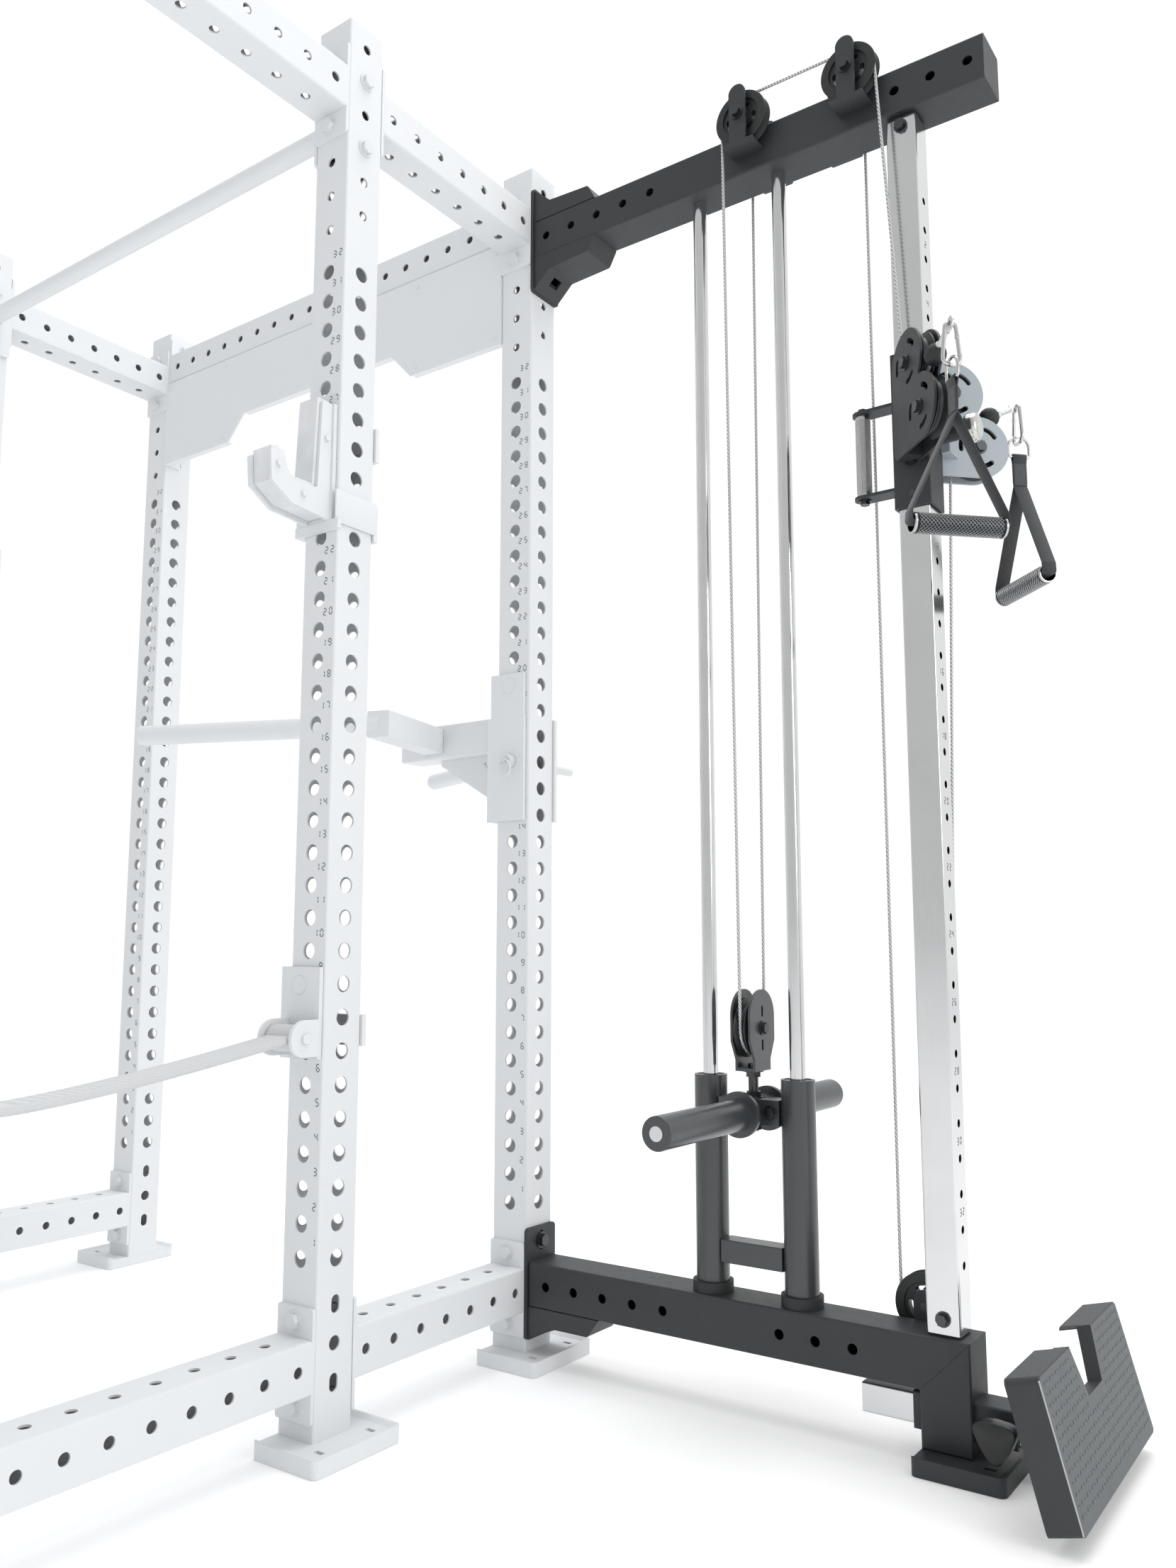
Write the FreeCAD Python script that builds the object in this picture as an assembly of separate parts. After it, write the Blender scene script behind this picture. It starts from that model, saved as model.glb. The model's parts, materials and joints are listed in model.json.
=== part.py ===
import FreeCAD, Part
import math
import os

# Power cage with a plate-loaded cable column on its right side.
# Millimetres, +Z up. The origin is on the floor under the axis of the right rear post.
# +X runs from the cage out to the cable column, -Y runs from the rear posts to the front ones.

# ---- driving dimensions: cage ----
SECTION = 75.0
WALL = 3.0
CORNER = 3.5
HALF = SECTION / 2
POST_Z0 = 20.0
POST_TOP = 2260.0
CAGE_WIDTH = 1155.0
REAR_BAY = 490.0
FRONT_BAY = 1036.0
PITCH = 50.0
FIRST_HOLE_Z = 270.0
HOLE_COUNT = 32
PIN_HOLE_R = 12.5
BOLT_HOLE_R = 8.0
BOLT_PITCH = 60.0
TOP_RAIL_Z = 2134.0
BOTTOM_RAIL_Z = 125.5
CROSSMEMBER_Z = 2164.0
PULL_UP_Z = 2104.0
PULL_UP_R = 16.5
FLANGE = 6.0
FLANGE_HALF = 80.0
FOOT_REACH = 95.0
FOOT_HALF = 85.0
FOOT_RIM_Z = 25.0
FOOT_RIM = 12.0
DIP_PIN_Z = 1070.0
DIP_PIN_END = 143.0

# ---- driving dimensions: cable column ----
TOP_BEAM_Z = 2104.5
TOP_BEAM_END = 927.0
LOW_BEAM_Z = 136.5
LEG_X = 789.5
BRACKET_PLATE = 6.0
ROD_X = (396.5, 554.5)
ROD_R = 12.5
CARRIAGE_X = sum(ROD_X) / 2
STOP_TOP = 191.0
SLEEVE_R = 27.0
SLEEVE_TOP = 517.0
HORN_Z = 462.0
HORN_REACH = 297.0
COLUMN_X = 786.0
COLUMN = 50.0
COLUMN_Z = (177.0, 2062.0)
COLUMN_HOLE_TOP = 1920.0
COLUMN_HOLES = 34
CROSS_BOLT_Z = (2048.0, 198.0)
BRACKET_BOLT_Z = 150.0

# ---- driving dimensions: pulleys and cable ----
PULLEY_R = 48.0
PULLEY_HALF = 10.0
CABLE_R = 2.5
ROUTE_R = 41.5
AXLE_R = 6.0
RUNNING = 0.05
CABLE_GAP = 0.3
PULLEY_Y = 57.0
PULLEY_Z = 2152.0
FRONT_PULLEY_X = (517.0, 715.5)
REAR_PULLEY_X = (517.0, 651.0)
LOW_PULLEY = (734.0, PULLEY_Y, 192.0)
CARRIAGE_PULLEY_Z = 595.0

# ---- driving dimensions: trolley, heads and handles ----
TROLLEY_Z = (1405.0, 1660.0)
TROLLEY_HALF = 30.0
PIN_Z = 1520.0
GRIP_X = 696.0
SIDE_SCREW_Z = 1485.0
HEAD_X = 815.0
HEAD_Y = 72.0
HEAD_Z = 1613.0
HEAD_ANGLE = 45.0
HEAD_DU = 41.0
HEAD_DZ = 89.0
HEAD_PLATE_R = 51.0
HEAD_PLATE_Y = (14.0, 18.0)
BALL_R = 17.0
BALL_RUN = 50.0
EYE_RUN = 105.0
HANDLE_DROP = 300.0
GRIP_R = 15.3
GRIP_LENGTH = 140.0
GRIP_BORE_R = 12.5
STRAP_WIDTH = 22.0
STRAP_THICK = 2.6
STRAP_APEX = -138.0
D_RING_TOP = -52.0
D_RING_BAR_Z = -86.0
D_RING_HALF = 15.0
D_RING_WIRE = 2.4

# ---- driving dimensions: foot plate ----
TUBE = 42.0
TUBE_Z = 67.0
TUBE_REAR = 658.0
RECEIVER = 52.0
RECEIVER_X = (738.0, 885.0)
PLATE_HALF = 202.0
PLATE_HEIGHT = 181.0
PLATE_TILT = 14.9
PLATE_TOP = (967.0, 202.0)
PLATE_LIP = 45.0
PLATE_THICK = 4.0
KNOB_X = 868.0

V = FreeCAD.Vector
X, Y, Z = V(1, 0, 0), V(0, 1, 0), V(0, 0, 1)
RIGHT_POSTS = {"rear": 0.0, "middle": -REAR_BAY, "front": -REAR_BAY - FRONT_BAY}


def box(x, y, z):
    """Box between the two limits given for each axis."""
    corner = V(min(x), min(y), min(z))
    return Part.makeBox(abs(x[1] - x[0]), abs(y[1] - y[0]), abs(z[1] - z[0]), corner)


def rod(start, axis, radius, length):
    return Part.makeCylinder(radius, length, V(*start), axis)


def fuse(shapes):
    return shapes[0].multiFuse(shapes[1:]).removeSplitter()


def largest(shape):
    """The biggest solid of a shape, without the crumbs that a cut leaves."""
    return max(shape.Solids, key=lambda solid: solid.Volume)


def moved(shape, x=0, y=0, z=0):
    copy = shape.copy()
    copy.translate(V(x, y, z))
    return copy


def turned(shape, centre, axis, degrees):
    copy = shape.copy()
    copy.rotate(V(*centre), axis, degrees)
    return copy


def mirrored_x(shape):
    """The same piece on the other side of the cage."""
    return shape.mirror(V(-CAGE_WIDTH / 2, 0, 0), X)


def mirrored_y(shape, y=0):
    return shape.mirror(V(0, y, 0), Y)


def group(shapes):
    return Part.makeCompound([s for shape in shapes for s in shape.Solids])


def prism(points, axis, start, end):
    """Polygon given in the two directions across axis, extruded from start to end."""
    across, up, depth = {"x": (Y, Z, X), "y": (X, Z, Y), "z": (X, Y, Z)}[axis]
    corners = [across * a + up * b + depth * start for a, b in points]
    return Part.Face(Part.makePolygon(corners + corners[:1])).extrude(depth * (end - start))


def soften(shape, radius, pick):
    """Round the edges that pick selects by midpoint and direction."""
    edges = [e for e in shape.Edges if pick(e)]
    if not edges:
        raise ValueError("no edge to round")
    return shape.makeFillet(radius, edges)


def along(direction):
    """Picks the straight edges that run in a direction."""
    def pick(edge):
        if len(edge.Vertexes) != 2:
            return False
        run = edge.Vertexes[1].Point - edge.Vertexes[0].Point
        return abs(run.normalize().dot(direction)) > 0.999
    return pick


def is_circle(edge):
    return edge.Curve.TypeId == "Part::GeomCircle"


def square_tube(x, y, z, axis, wall=WALL, radius=CORNER):
    """Square tube with rounded edges; the limits are its outside."""
    outer = soften(box(x, y, z), radius, along(axis))
    spans = []
    for limits, direction in ((x, X), (y, Y), (z, Z)):
        inset = -1.0 if direction == axis else wall
        spans.append((min(limits) + inset, max(limits) - inset))
    return outer.cut(box(*spans))


def bolt_head(point, direction, radius=11.0, height=8.0):
    """Hexagon head standing on a face, with its washer."""
    washer = rod(point, direction, radius * 1.3, 2.0)
    ring = [math.radians(60 * i) for i in range(7)]
    outline = Part.makePolygon([V(radius * math.cos(a), radius * math.sin(a), 0) for a in ring])
    hexagon = Part.Face(outline).extrude(Z * height)
    hexagon.Placement = FreeCAD.Placement(V(*point) + direction * 2.0, FreeCAD.Rotation(Z, direction))
    return fuse([washer, hexagon])


def through_bolt(start, direction, length, shank=AXLE_R, head=11.0):
    """Bolt with a head at both ends of its length, as a bolt and nut."""
    end = V(*start) + direction * length
    ends = [bolt_head(start, direction * -1, head), bolt_head(tuple(end), direction, head)]
    return fuse([rod(start, direction, shank, length)] + ends)


# ---- cage ----
def post():
    """One post on the origin: numbered pin holes on four faces and bolt holes above them."""
    tube = square_tube((-HALF, HALF), (-HALF, HALF), (POST_Z0, POST_TOP), Z)
    top = box((-HALF + WALL, HALF - WALL), (-HALF + WALL, HALF - WALL), (POST_TOP - WALL, POST_TOP))
    heights = [FIRST_HOLE_Z + PITCH * n for n in range(HOLE_COUNT)]
    along_x = [rod((-50, 0, z), X, PIN_HOLE_R, 100) for z in heights]
    along_y = [rod((0, -50, z), Y, PIN_HOLE_R, 100) for z in heights]
    along_x += [rod((-50, 0, 1924 + BOLT_PITCH * n), X, BOLT_HOLE_R, 100) for n in range(6)]
    along_y += [rod((0, -50, 1894 + BOLT_PITCH * n), Y, BOLT_HOLE_R, 100) for n in range(6)]
    along_y += [rod((0, -50, z), Y, BOLT_HOLE_R, 100) for z in (65.5, 185.5)]
    along_x += [slot_x(z) for z in (95, 205)]
    along_x.append(rod((-50, 0, BRACKET_BOLT_Z), X, 10.5, 100))
    return tube.fuse(top).cut(along_x).cut(along_y).removeSplitter()


def slot_x(z):
    """Upright slot cutter through a post along X."""
    ends = [rod((-50, 0, z + dz), X, BOLT_HOLE_R, 100) for dz in (-5, 5)]
    return fuse(ends + [box((-50, 50), (-BOLT_HOLE_R, BOLT_HOLE_R), (z - 5, z + 5))])


def foot(x0, x1):
    """Floor tray: flat floor, bevelled rim on three sides, flush with the post on the inner side."""
    body = soften(box((x0, x1), (-FOOT_HALF, FOOT_HALF), (0, FOOT_RIM_Z)), 10, along(Z))
    loops = []
    for rim, z in ((FOOT_RIM, POST_Z0), (4, FOOT_RIM_Z + 1)):
        a, b, half = x0 - 20, x1 - rim, FOOT_HALF - rim
        loop = [V(a, -half, z), V(b, -half, z), V(b, half, z), V(a, half, z)]
        loops.append(Part.makePolygon(loop + loop[:1]))
    pocket = Part.makeLoft(loops, True, True)
    slots = [box((x1 - 38, x1 - 22), (y - 4, y + 4), (-1, 30)) for y in (-50, 50)]
    return body.cut([pocket] + slots)


def flange(face, axis, z, corner=4.0, half=FLANGE_HALF):
    """Plate with two bolt holes; face is (x, y) on its axis, at the side nearer to the origin's low end."""
    x, y = face
    if axis is X:
        plate = box((x, x + FLANGE), (y - HALF, y + HALF), (z - half, z + half))
    else:
        plate = box((x - HALF, x + HALF), (y, y + FLANGE), (z - half, z + half))
    holes = [rod(V(x, y, z + dz) - axis * 5, axis, BOLT_HOLE_R, 20) for dz in (-60, 60)]
    return soften(plate, corner, along(axis)).cut(holes)


def side_rail(y_rear, y_front, z, holes_x, holes_z):
    """Rail along Y between two post faces, with a welded flange at each end."""
    y0, y1 = y_front + HALF, y_rear - HALF
    tube = square_tube((-HALF, HALF), (y0 + FLANGE, y1 - FLANGE), (z - HALF, z + HALF), Y)
    cuts = [rod((-50, y, z), X, BOLT_HOLE_R, 100) for y in holes_x]
    cuts += [rod((0, y, z - 50), Z, BOLT_HOLE_R, 100) for y in holes_z]
    return [tube.cut(cuts)] + [flange((0, y), Y, z) for y in (y0, y1 - FLANGE)]


def hole_row(start, count):
    return [start - BOLT_PITCH * n for n in range(count)]


def side_rails(z):
    """The four rails of one level: rear and front bay, right and left."""
    rear, middle, front = (RIGHT_POSTS[k] for k in ("rear", "middle", "front"))
    count = int((FRONT_BAY - 136) / BOLT_PITCH) + 1
    right = side_rail(rear, middle, z, hole_row(-65, 7), hole_row(-96, 6))
    right += side_rail(middle, front, z, hole_row(middle - 68, count), hole_row(middle - 98, count - 1))
    return right + [mirrored_x(rail) for rail in right]


def cross_rail(y):
    """Rail along X between the two posts of one side, with end flanges."""
    x0, x1 = -CAGE_WIDTH + HALF, -HALF
    z = CROSSMEMBER_Z
    tube = square_tube((x0 + FLANGE, x1 - FLANGE), (y - HALF, y + HALF), (z - HALF, z + HALF), X)
    xs = [-65 - BOLT_PITCH * n for n in range(18)]
    cuts = [rod((x, y - 50, z), Y, BOLT_HOLE_R, 100) for x in xs]
    return [tube.cut(cuts)] + [flange((x, y), X, z) for x in (x0, x1 - FLANGE)]


def nameplate():
    """Blank sheet sign on the rear crossmember, deeper at its two ends."""
    mid = -CAGE_WIDTH / 2
    face = -HALF - 4
    half, lobe, slope = CAGE_WIDTH / 2 - HALF, 1912.0, 1970.0
    points = [(mid - half, 2122), (mid - half, lobe), (mid - 295, lobe), (mid - 240, slope),
              (mid + 240, slope), (mid + 295, lobe), (mid + half, lobe), (mid + half, 2122)]
    sheet = prism(points, "y", face, face + 4)
    lip = box((mid - half + 10, mid + half - 10), (face, face + 24), (2118, 2122))
    hems = [box((mid + s * 300, mid + s * half), (face, face + 16), (lobe, lobe + 3)) for s in (-1, 1)]
    hems.append(box((mid - 238, mid + 238), (face, face + 16), (slope, slope + 3)))
    ends = [box((mid + s * half, mid + s * (half - 4)), (face, face + 45), (lobe, 2080)) for s in (-1, 1)]
    body = fuse([sheet, lip] + hems + ends)
    xs = [mid + s * d for s in (-1, 1) for d in (half - 14, 312)]
    rivets = [rod((x, face - 1.2, z), Y, 4, 3) for x in xs for z in (lobe + 16, 2105)]
    return fuse([body] + rivets)


def pull_up_bar():
    """Round bar between the middle posts with a bolted flange at each end."""
    y = RIGHT_POSTS["middle"]
    x0, x1 = -CAGE_WIDTH + HALF, -HALF
    bar = rod((x0 + FLANGE, y, PULL_UP_Z), X, PULL_UP_R, x1 - x0 - 2 * FLANGE)
    return [bar] + [flange((x, y), X, PULL_UP_Z, 6.0, 82.0) for x in (x0, x1 - FLANGE)]


def rack_bolts():
    """Bolt and nut at every flange of the cage, through flange and post."""
    bolts = []
    rear, middle, front = (RIGHT_POSTS[k] for k in ("rear", "middle", "front"))
    for z in (TOP_RAIL_Z - 60, TOP_RAIL_Z + 60, BOTTOM_RAIL_Z - 60, BOTTOM_RAIL_Z + 60):
        bolts.append(through_bolt((0, rear - HALF - FLANGE, z), Y, SECTION + FLANGE))
        bolts.append(through_bolt((0, middle - HALF - FLANGE, z), Y, SECTION + 2 * FLANGE))
        bolts.append(through_bolt((0, front - HALF, z), Y, SECTION + FLANGE))
    for z in (PULL_UP_Z - 60, PULL_UP_Z + 60):
        bolts.append(through_bolt((-HALF - FLANGE, middle, z), X, SECTION + FLANGE))
    for y in (rear, front):
        for dz in (-60, 60):
            bolts.append(through_bolt((-HALF - FLANGE, y, CROSSMEMBER_Z + dz), X, FLANGE + WALL))
    return bolts + [mirrored_x(bolt) for bolt in bolts]


# ---- attachments on the cage ----
def post_clasp(x0, x1, z0, z1, rear):
    """Channel open to +X that hugs a post on the origin: front, inner side and rear walls."""
    out = HALF + 8
    front = box((x0, x1), (-out, -HALF - 0.5), (z0, z1))
    side = box((x0, -HALF - 0.5), (-out, out), (z0, z1))
    back = [box((x0, 41), (HALF + 0.5, out), span) for span in rear]
    folds = lambda e: along(Z)(e) and abs(e.BoundBox.Center.x - x0) < 0.1
    return soften(fuse([front, side] + back), 3, folds)


def j_cup():
    """Sandwich hook: two side plates joined by a back plate, with a peg in a pin hole."""
    face = -HALF - 8
    profile = [(face, 1391), (-122, 1397), (-162, 1422), (-166, 1470), (-140, 1476), (-132, 1448),
               (-118, 1436), (-72, 1436), (-66, 1583), (face, 1583)]
    plates = []
    for x in (-27, 21):
        plate = prism(profile, "x", x, x + 6)
        plates.append(soften(plate, 5, lambda e: along(X)(e) and e.BoundBox.Center.y < -60))
    clasp = post_clasp(-51, 31, 1376, 1583, [(1376, 1436), (1511, 1568)])
    band = box((-51, 46), (-46, -HALF - 0.5), (1376, 1392))
    peg = rod((0, -HALF - 1, 1470), Y, 11.8, 40)
    bolts = [rod((-32, y, z), X, 5, 64) for y, z in ((-56, 1522), (-100, 1418), (-150, 1450))]
    return fuse(plates + [clasp, band, peg] + bolts)


def j_cup_liner():
    """Plastic block between the side plates, standing proud of them as the bar's cradle."""
    profile = [(-47, 1398), (-120, 1403), (-156, 1426), (-160, 1478), (-146, 1482), (-137, 1456),
               (-120, 1443), (-78, 1443), (-71, 1588), (-47, 1588)]
    block = prism(profile, "x", -20.5, 20.5)
    bolts = [rod((-32, y, z), X, 5.1, 64) for y, z in ((-56, 1522), (-100, 1418), (-150, 1450))]
    return block.cut(bolts)


def safety_bracket():
    """Clasp with two round ears and the pin that the strap hangs from."""
    clasp = post_clasp(-51, 34, 560, 696, [(575, 622)])
    ears = []
    for x in (-37, 31):
        plate = fuse([rod((x, -73, 592), X, 27, 6), box((x, x + 6), (-73, -HALF - 8), (565, 619))])
        ears.append(plate)
    pin = rod((-42, -73, 592), X, 8, 84)
    button = rod((-9, -HALF - 9.5, 669), Y, 14, 2)
    peg = rod((0, -HALF - 1, 620), Y, 11.8, 30)
    return fuse([clasp, pin, button, peg] + ears)


def safety_strap():
    """Webbing slung from pin to pin between the middle and front posts."""
    y_pin = RIGHT_POSTS["middle"] - 73
    y_end = RIGHT_POSTS["front"] + 73
    mid, half = (y_pin + y_end) / 2, (y_pin - y_end) / 2
    steps = 24
    sag = 57.0
    thick = 6.0
    heights = []
    for i in range(steps + 1):
        s = -1 + 2 * i / steps
        heights.append((mid + s * (half - 14), 592 - sag * (1 - abs(s) ** 1.35)))
    outline = [(y, z + thick) for y, z in heights] + [(y, z - thick) for y, z in reversed(heights)]
    band = prism(outline, "x", -28, 28)
    loops = [rod((-28, y, 592), X, 20, 56) for y in (y_pin, y_end)]
    bores = [rod((-40, y, 592), X, 8.4, 80) for y in (y_pin, y_end)]
    return fuse([band] + loops).cut(bores)


def dip_bracket():
    """Clasp on the right rear post with a square arm into the cage and a gusset under it."""
    clasp = post_clasp(-57, 31, 958, 1155, [(960, 1156)])
    upper = box((-48, 30), (-HALF - 8, -HALF - 0.5), (1150, 1238))
    button = rod((-4, -HALF - 9.5, 1215), Y, 14, 2)
    arm = square_tube((-294, -57), (-30, 30), (1093, 1160), X)
    gusset = prism([(-57, 1093), (-57, 998), (-66, 998), (-210, 1083), (-210, 1093)], "y", -4, 4)
    window = prism([(-68, 1080), (-100, 1080), (-68, 1040)], "y", -10, 10)
    hole = rod((0, -60, DIP_PIN_Z), Y, 8.05, 120)
    return fuse([clasp, upper, button, arm, gusset]).cut([window, hole])


def dip_bars():
    """Pair of splayed round handles on angled arms bolted through the square arm."""
    pieces = []
    for s in (-1, 1):
        start, bend, end = V(-205, s * 30.5, 1127), V(-150, s * 232, 1127), V(-612, s * 415, 1127)
        run = bend - start
        arm = box((0, run.Length + 16), (-22, 22), (-24, 24))
        arm.Placement = FreeCAD.Placement(start, FreeCAD.Rotation(X, run))
        arm = arm.cut(box((-400, 0), (-30.5, 30.5), (1000, 1300)))
        bar = rod(tuple(bend), end - bend, 19, (end - bend).Length)
        bolt = bolt_head((-186, s * 46, 1127), X, 9, 6)
        pieces.append(fuse([arm, bar, bolt]))
    return pieces


def dip_pin():
    """Detent pin with a turned head and a pull ring."""
    y0 = -HALF - 8
    shank = rod((0, y0 - 4, DIP_PIN_Z), Y, 8.0, DIP_PIN_END - y0 + 4)
    head = soften(rod((0, y0 - 16, DIP_PIN_Z), Y, 13, 15.5), 2, is_circle)
    eye = DIP_PIN_Z + 1
    lug = box((-2, 2), (y0 - 23, y0 - 15), (eye - 4.5, eye + 4.5)).cut(rod((-3, y0 - 20, eye), X, 2.5, 6))
    section = Part.Face(Part.Wire(Part.makeCircle(2, V(16, y0 - 20, eye - 16), Z)))
    ring = section.revolve(V(0, y0 - 20, eye - 16), Y, 360)
    return [fuse([shank, head, lug]), ring]


# ---- cable column: frame ----
def beam_holes(xs, z):
    return [rod((x, -50, z), Y, BOLT_HOLE_R, 100) for x in xs]


def top_beam():
    """Upper beam with a closed end and a stub that locates the column."""
    x0 = HALF + BRACKET_PLATE
    tube = square_tube((x0, TOP_BEAM_END), (-HALF, HALF), (TOP_BEAM_Z - HALF, TOP_BEAM_Z + HALF), X)
    inset = HALF - 2
    cap = box((TOP_BEAM_END - 4, TOP_BEAM_END), (-inset, inset), (TOP_BEAM_Z - inset, TOP_BEAM_Z + inset))
    stub = column_stub(TOP_BEAM_Z - HALF, -47)
    xs = [72 + BOLT_PITCH * n for n in range(5)] + [781.5 + BOLT_PITCH * n for n in range(3)]
    return fuse([tube, cap, stub]).cut(beam_holes(xs, TOP_BEAM_Z))


def column_stub(z, length):
    """Square stub inside the column's end, drilled for its cross bolt."""
    half = COLUMN / 2 - 3.2
    body = box((COLUMN_X - half, COLUMN_X + half), (-half, half), (z, z + length))
    bolt_z = z + length + (28 if length < 0 else -32)
    return body.cut(rod((COLUMN_X, -50, bolt_z), Y, AXLE_R, 100))


def low_beam():
    """Lower beam mitred into its end leg, with the receiver for the foot plate's tube."""
    z0, z1 = LOW_BEAM_Z - HALF, LOW_BEAM_Z + HALF
    x0 = HALF + BRACKET_PLATE
    outer_x = LEG_X + HALF
    leg_x = LEG_X - HALF
    outline = [(x0, z0), (leg_x, z0), (leg_x, POST_Z0), (outer_x, POST_Z0), (outer_x, z1), (x0, z1)]
    solid = soften(prism(outline, "y", -HALF, HALF), CORNER,
                   lambda e: abs(abs(e.BoundBox.Center.y) - HALF) < 0.1 and e.Length > 50)
    bore = [(x0 - 1, z0 + WALL), (leg_x + WALL, z0 + WALL), (leg_x + WALL, POST_Z0 - 1),
            (outer_x - WALL, POST_Z0 - 1), (outer_x - WALL, z1 - WALL), (x0 - 1, z1 - WALL)]
    hollow = prism(bore, "y", -HALF + WALL, HALF - WALL)
    half = RECEIVER / 2
    sleeve = box(RECEIVER_X, (-half, half), (TUBE_Z - half, TUBE_Z + half))
    sleeve = soften(sleeve, 3, along(X))
    bore_half = TUBE / 2 + 1
    passage = box((700, 900), (-bore_half, bore_half), (TUBE_Z - bore_half, TUBE_Z + bore_half))
    stub = column_stub(z1, 56)
    tray = foot(leg_x, outer_x + 57)
    xs = [81.5 + BOLT_PITCH * n for n in range(5)] + [531.5 + BOLT_PITCH * n for n in range(3)]
    shell = solid.cut(hollow).cut(beam_holes(xs, LOW_BEAM_Z))
    thread = rod((KNOB_X, -half - 1, TUBE_Z), Y, 5.1, 20)
    return fuse([shell, sleeve, stub, tray]).cut([passage, thread])


def beam_gusset(points, inner):
    """Folded channel that braces the bracket plate against the beam: skin with two side webs."""
    folds = [x for x, z in points[2:4]]
    outer = soften(prism(points, "y", -HALF, HALF), 6,
                   lambda e: along(Y)(e) and min(abs(e.BoundBox.Center.x - x) for x in folds) < 1)
    return outer.cut(prism(inner, "y", -HALF + 5, HALF - 5))


def bracket_plate(z0, z1, cuts):
    x0, x1 = HALF, HALF + BRACKET_PLATE
    plate = soften(box((x0, x1), (-HALF - 4, HALF + 4), (z0, z1)), 8, along(X))
    return plate.cut(cuts)


def top_bracket():
    z0, z1 = TOP_BEAM_Z - HALF, TOP_BEAM_Z + HALF
    x = HALF + BRACKET_PLATE
    plate = bracket_plate(1997, 2213, [rod((30, 0, z), X, AXLE_R + 0.5, 20) for z in (2044, 2164)]
                          + [rod((30, 0, 2016), X, 9, 20)])
    upper = beam_gusset([(x, z1), (x, 2208), (81, 2176), (172, 2171), (188, z1)],
                        [(x - 1, z1 - 1), (x - 1, 2200), (78, 2171), (170, 2166), (183, z1 - 1)])
    lower = beam_gusset([(x, z0), (x, 2000), (81, 2034), (172, 2038), (188, z0)],
                        [(x - 1, z0 + 1), (x - 1, 2008), (78, 2039), (170, 2043), (183, z0 + 1)])
    window = box((60, 74), (-12, 12), (1990, 2060))
    bolts = [through_bolt((HALF - WALL, 0, z), X, WALL + BRACKET_PLATE) for z in (2044, 2164)]
    return fuse([plate, upper, lower]).cut([window]), bolts


def bottom_bracket():
    z0, z1 = LOW_BEAM_Z - HALF, LOW_BEAM_Z + HALF
    x = HALF + BRACKET_PLATE
    slot = fuse([box((30, 60), (-8, 8), (196, 214))] + [rod((30, 0, z), X, 8, 30) for z in (196, 214)])
    plate = bracket_plate(42, 230, [slot, rod((30, 0, BRACKET_BOLT_Z), X, AXLE_R + 0.5, 30)])
    lower = beam_gusset([(x, z0), (x, 46), (102, 69), (171, 69), (194, z0)],
                        [(x - 1, z0 + 1), (x - 1, 54), (99, 74), (168, 74), (187, z0 + 1)])
    bolts = [through_bolt((HALF - WALL, 0, z), X, WALL + BRACKET_PLATE) for z in (205, BRACKET_BOLT_Z)]
    return fuse([plate, lower]), bolts


def column():
    """Square chromed tube with a row of adjustment holes on its outer and inner faces."""
    half = COLUMN / 2
    tube = square_tube((COLUMN_X - half, COLUMN_X + half), (-half, half), COLUMN_Z, Z)
    levels = [COLUMN_HOLE_TOP - PITCH * n for n in range(COLUMN_HOLES)]
    holes = [rod((COLUMN_X + half - 5, 0, z), X, 6, 10) for z in levels]
    cross = [rod((COLUMN_X, -50, z), Y, AXLE_R, 100) for z in CROSS_BOLT_Z]
    return tube.cut(holes).cut(cross)


# ---- pulleys ----
def pulley(centre, axis):
    """Grooved wheel with a hub and three windows, on the given centre and axis."""
    half, rim, root = PULLEY_HALF, PULLEY_R, ROUTE_R - CABLE_R - CABLE_GAP
    upper = [(root, 2.4), (rim, half - 1.2), (rim - 1, half), (34, half), (34, half - 3),
             (14, half - 3), (14, half), (AXLE_R + RUNNING, half)]
    profile = [(r, -h) for r, h in reversed(upper)] + upper
    corners = [V(r, 0, h) for r, h in profile]
    wheel = Part.Face(Part.makePolygon(corners + corners[:1])).revolve(V(0, 0, 0), Z, 360)
    windows = [arc_slot(24, 8, 62, 120 * n, -half - 1, half + 1) for n in range(3)]
    wheel = wheel.cut(windows)
    wheel.Placement = FreeCAD.Placement(V(*centre), FreeCAD.Rotation(Z, axis))
    return wheel


def arc_slot(radius, width, span, start, z0, z1):
    """Curved slot cutter about the Z axis with round ends."""
    r0, r1 = radius - width / 2, radius + width / 2
    inner, outer = (Part.makeCylinder(r, z1 - z0, V(0, 0, z0), Z, span) for r in (r0, r1))
    end = Part.makeCylinder(width / 2, z1 - z0, V(radius, 0, z0))
    return turned(fuse([outer.cut(inner), end, turned(end, (0, 0, 0), Z, span)]), (0, 0, 0), Z, start)


def strap_plate(x, y0, y1, z0, z1, width=31.0):
    """Upright strap with a round top, for a pulley bracket."""
    half = width / 2
    web = box((x - half, x + half), (y0, y1), (z0, z1 - half))
    return fuse([web, rod((x, y0, z1 - half), Y, half, y1 - y0)])


def pulley_bracket(x, z, base_z0, top):
    """J-shaped bracket on the front of a beam: back strap, floor and front strap."""
    back = strap_plate(x, -HALF - 4, -HALF, base_z0, top)
    floor = soften(box((x - 29, x + 29), (-80, -HALF), (base_z0, base_z0 + 4)), 3, along(Z))
    front = strap_plate(x, -80, -75.5, base_z0, top)
    return fuse([back, floor, front]).cut(rod((x, -100, z), Y, AXLE_R, 100))


def pulley_brackets():
    front = [pulley_bracket(x, PULLEY_Z, 2096, 2205) for x in FRONT_PULLEY_X]
    rear = [mirrored_y(pulley_bracket(x, PULLEY_Z, 2096, 2205)) for x in REAR_PULLEY_X]
    low = mirrored_y(pulley_bracket(LOW_PULLEY[0], LOW_PULLEY[2], 136, 216))
    return front + rear + [low]


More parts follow.
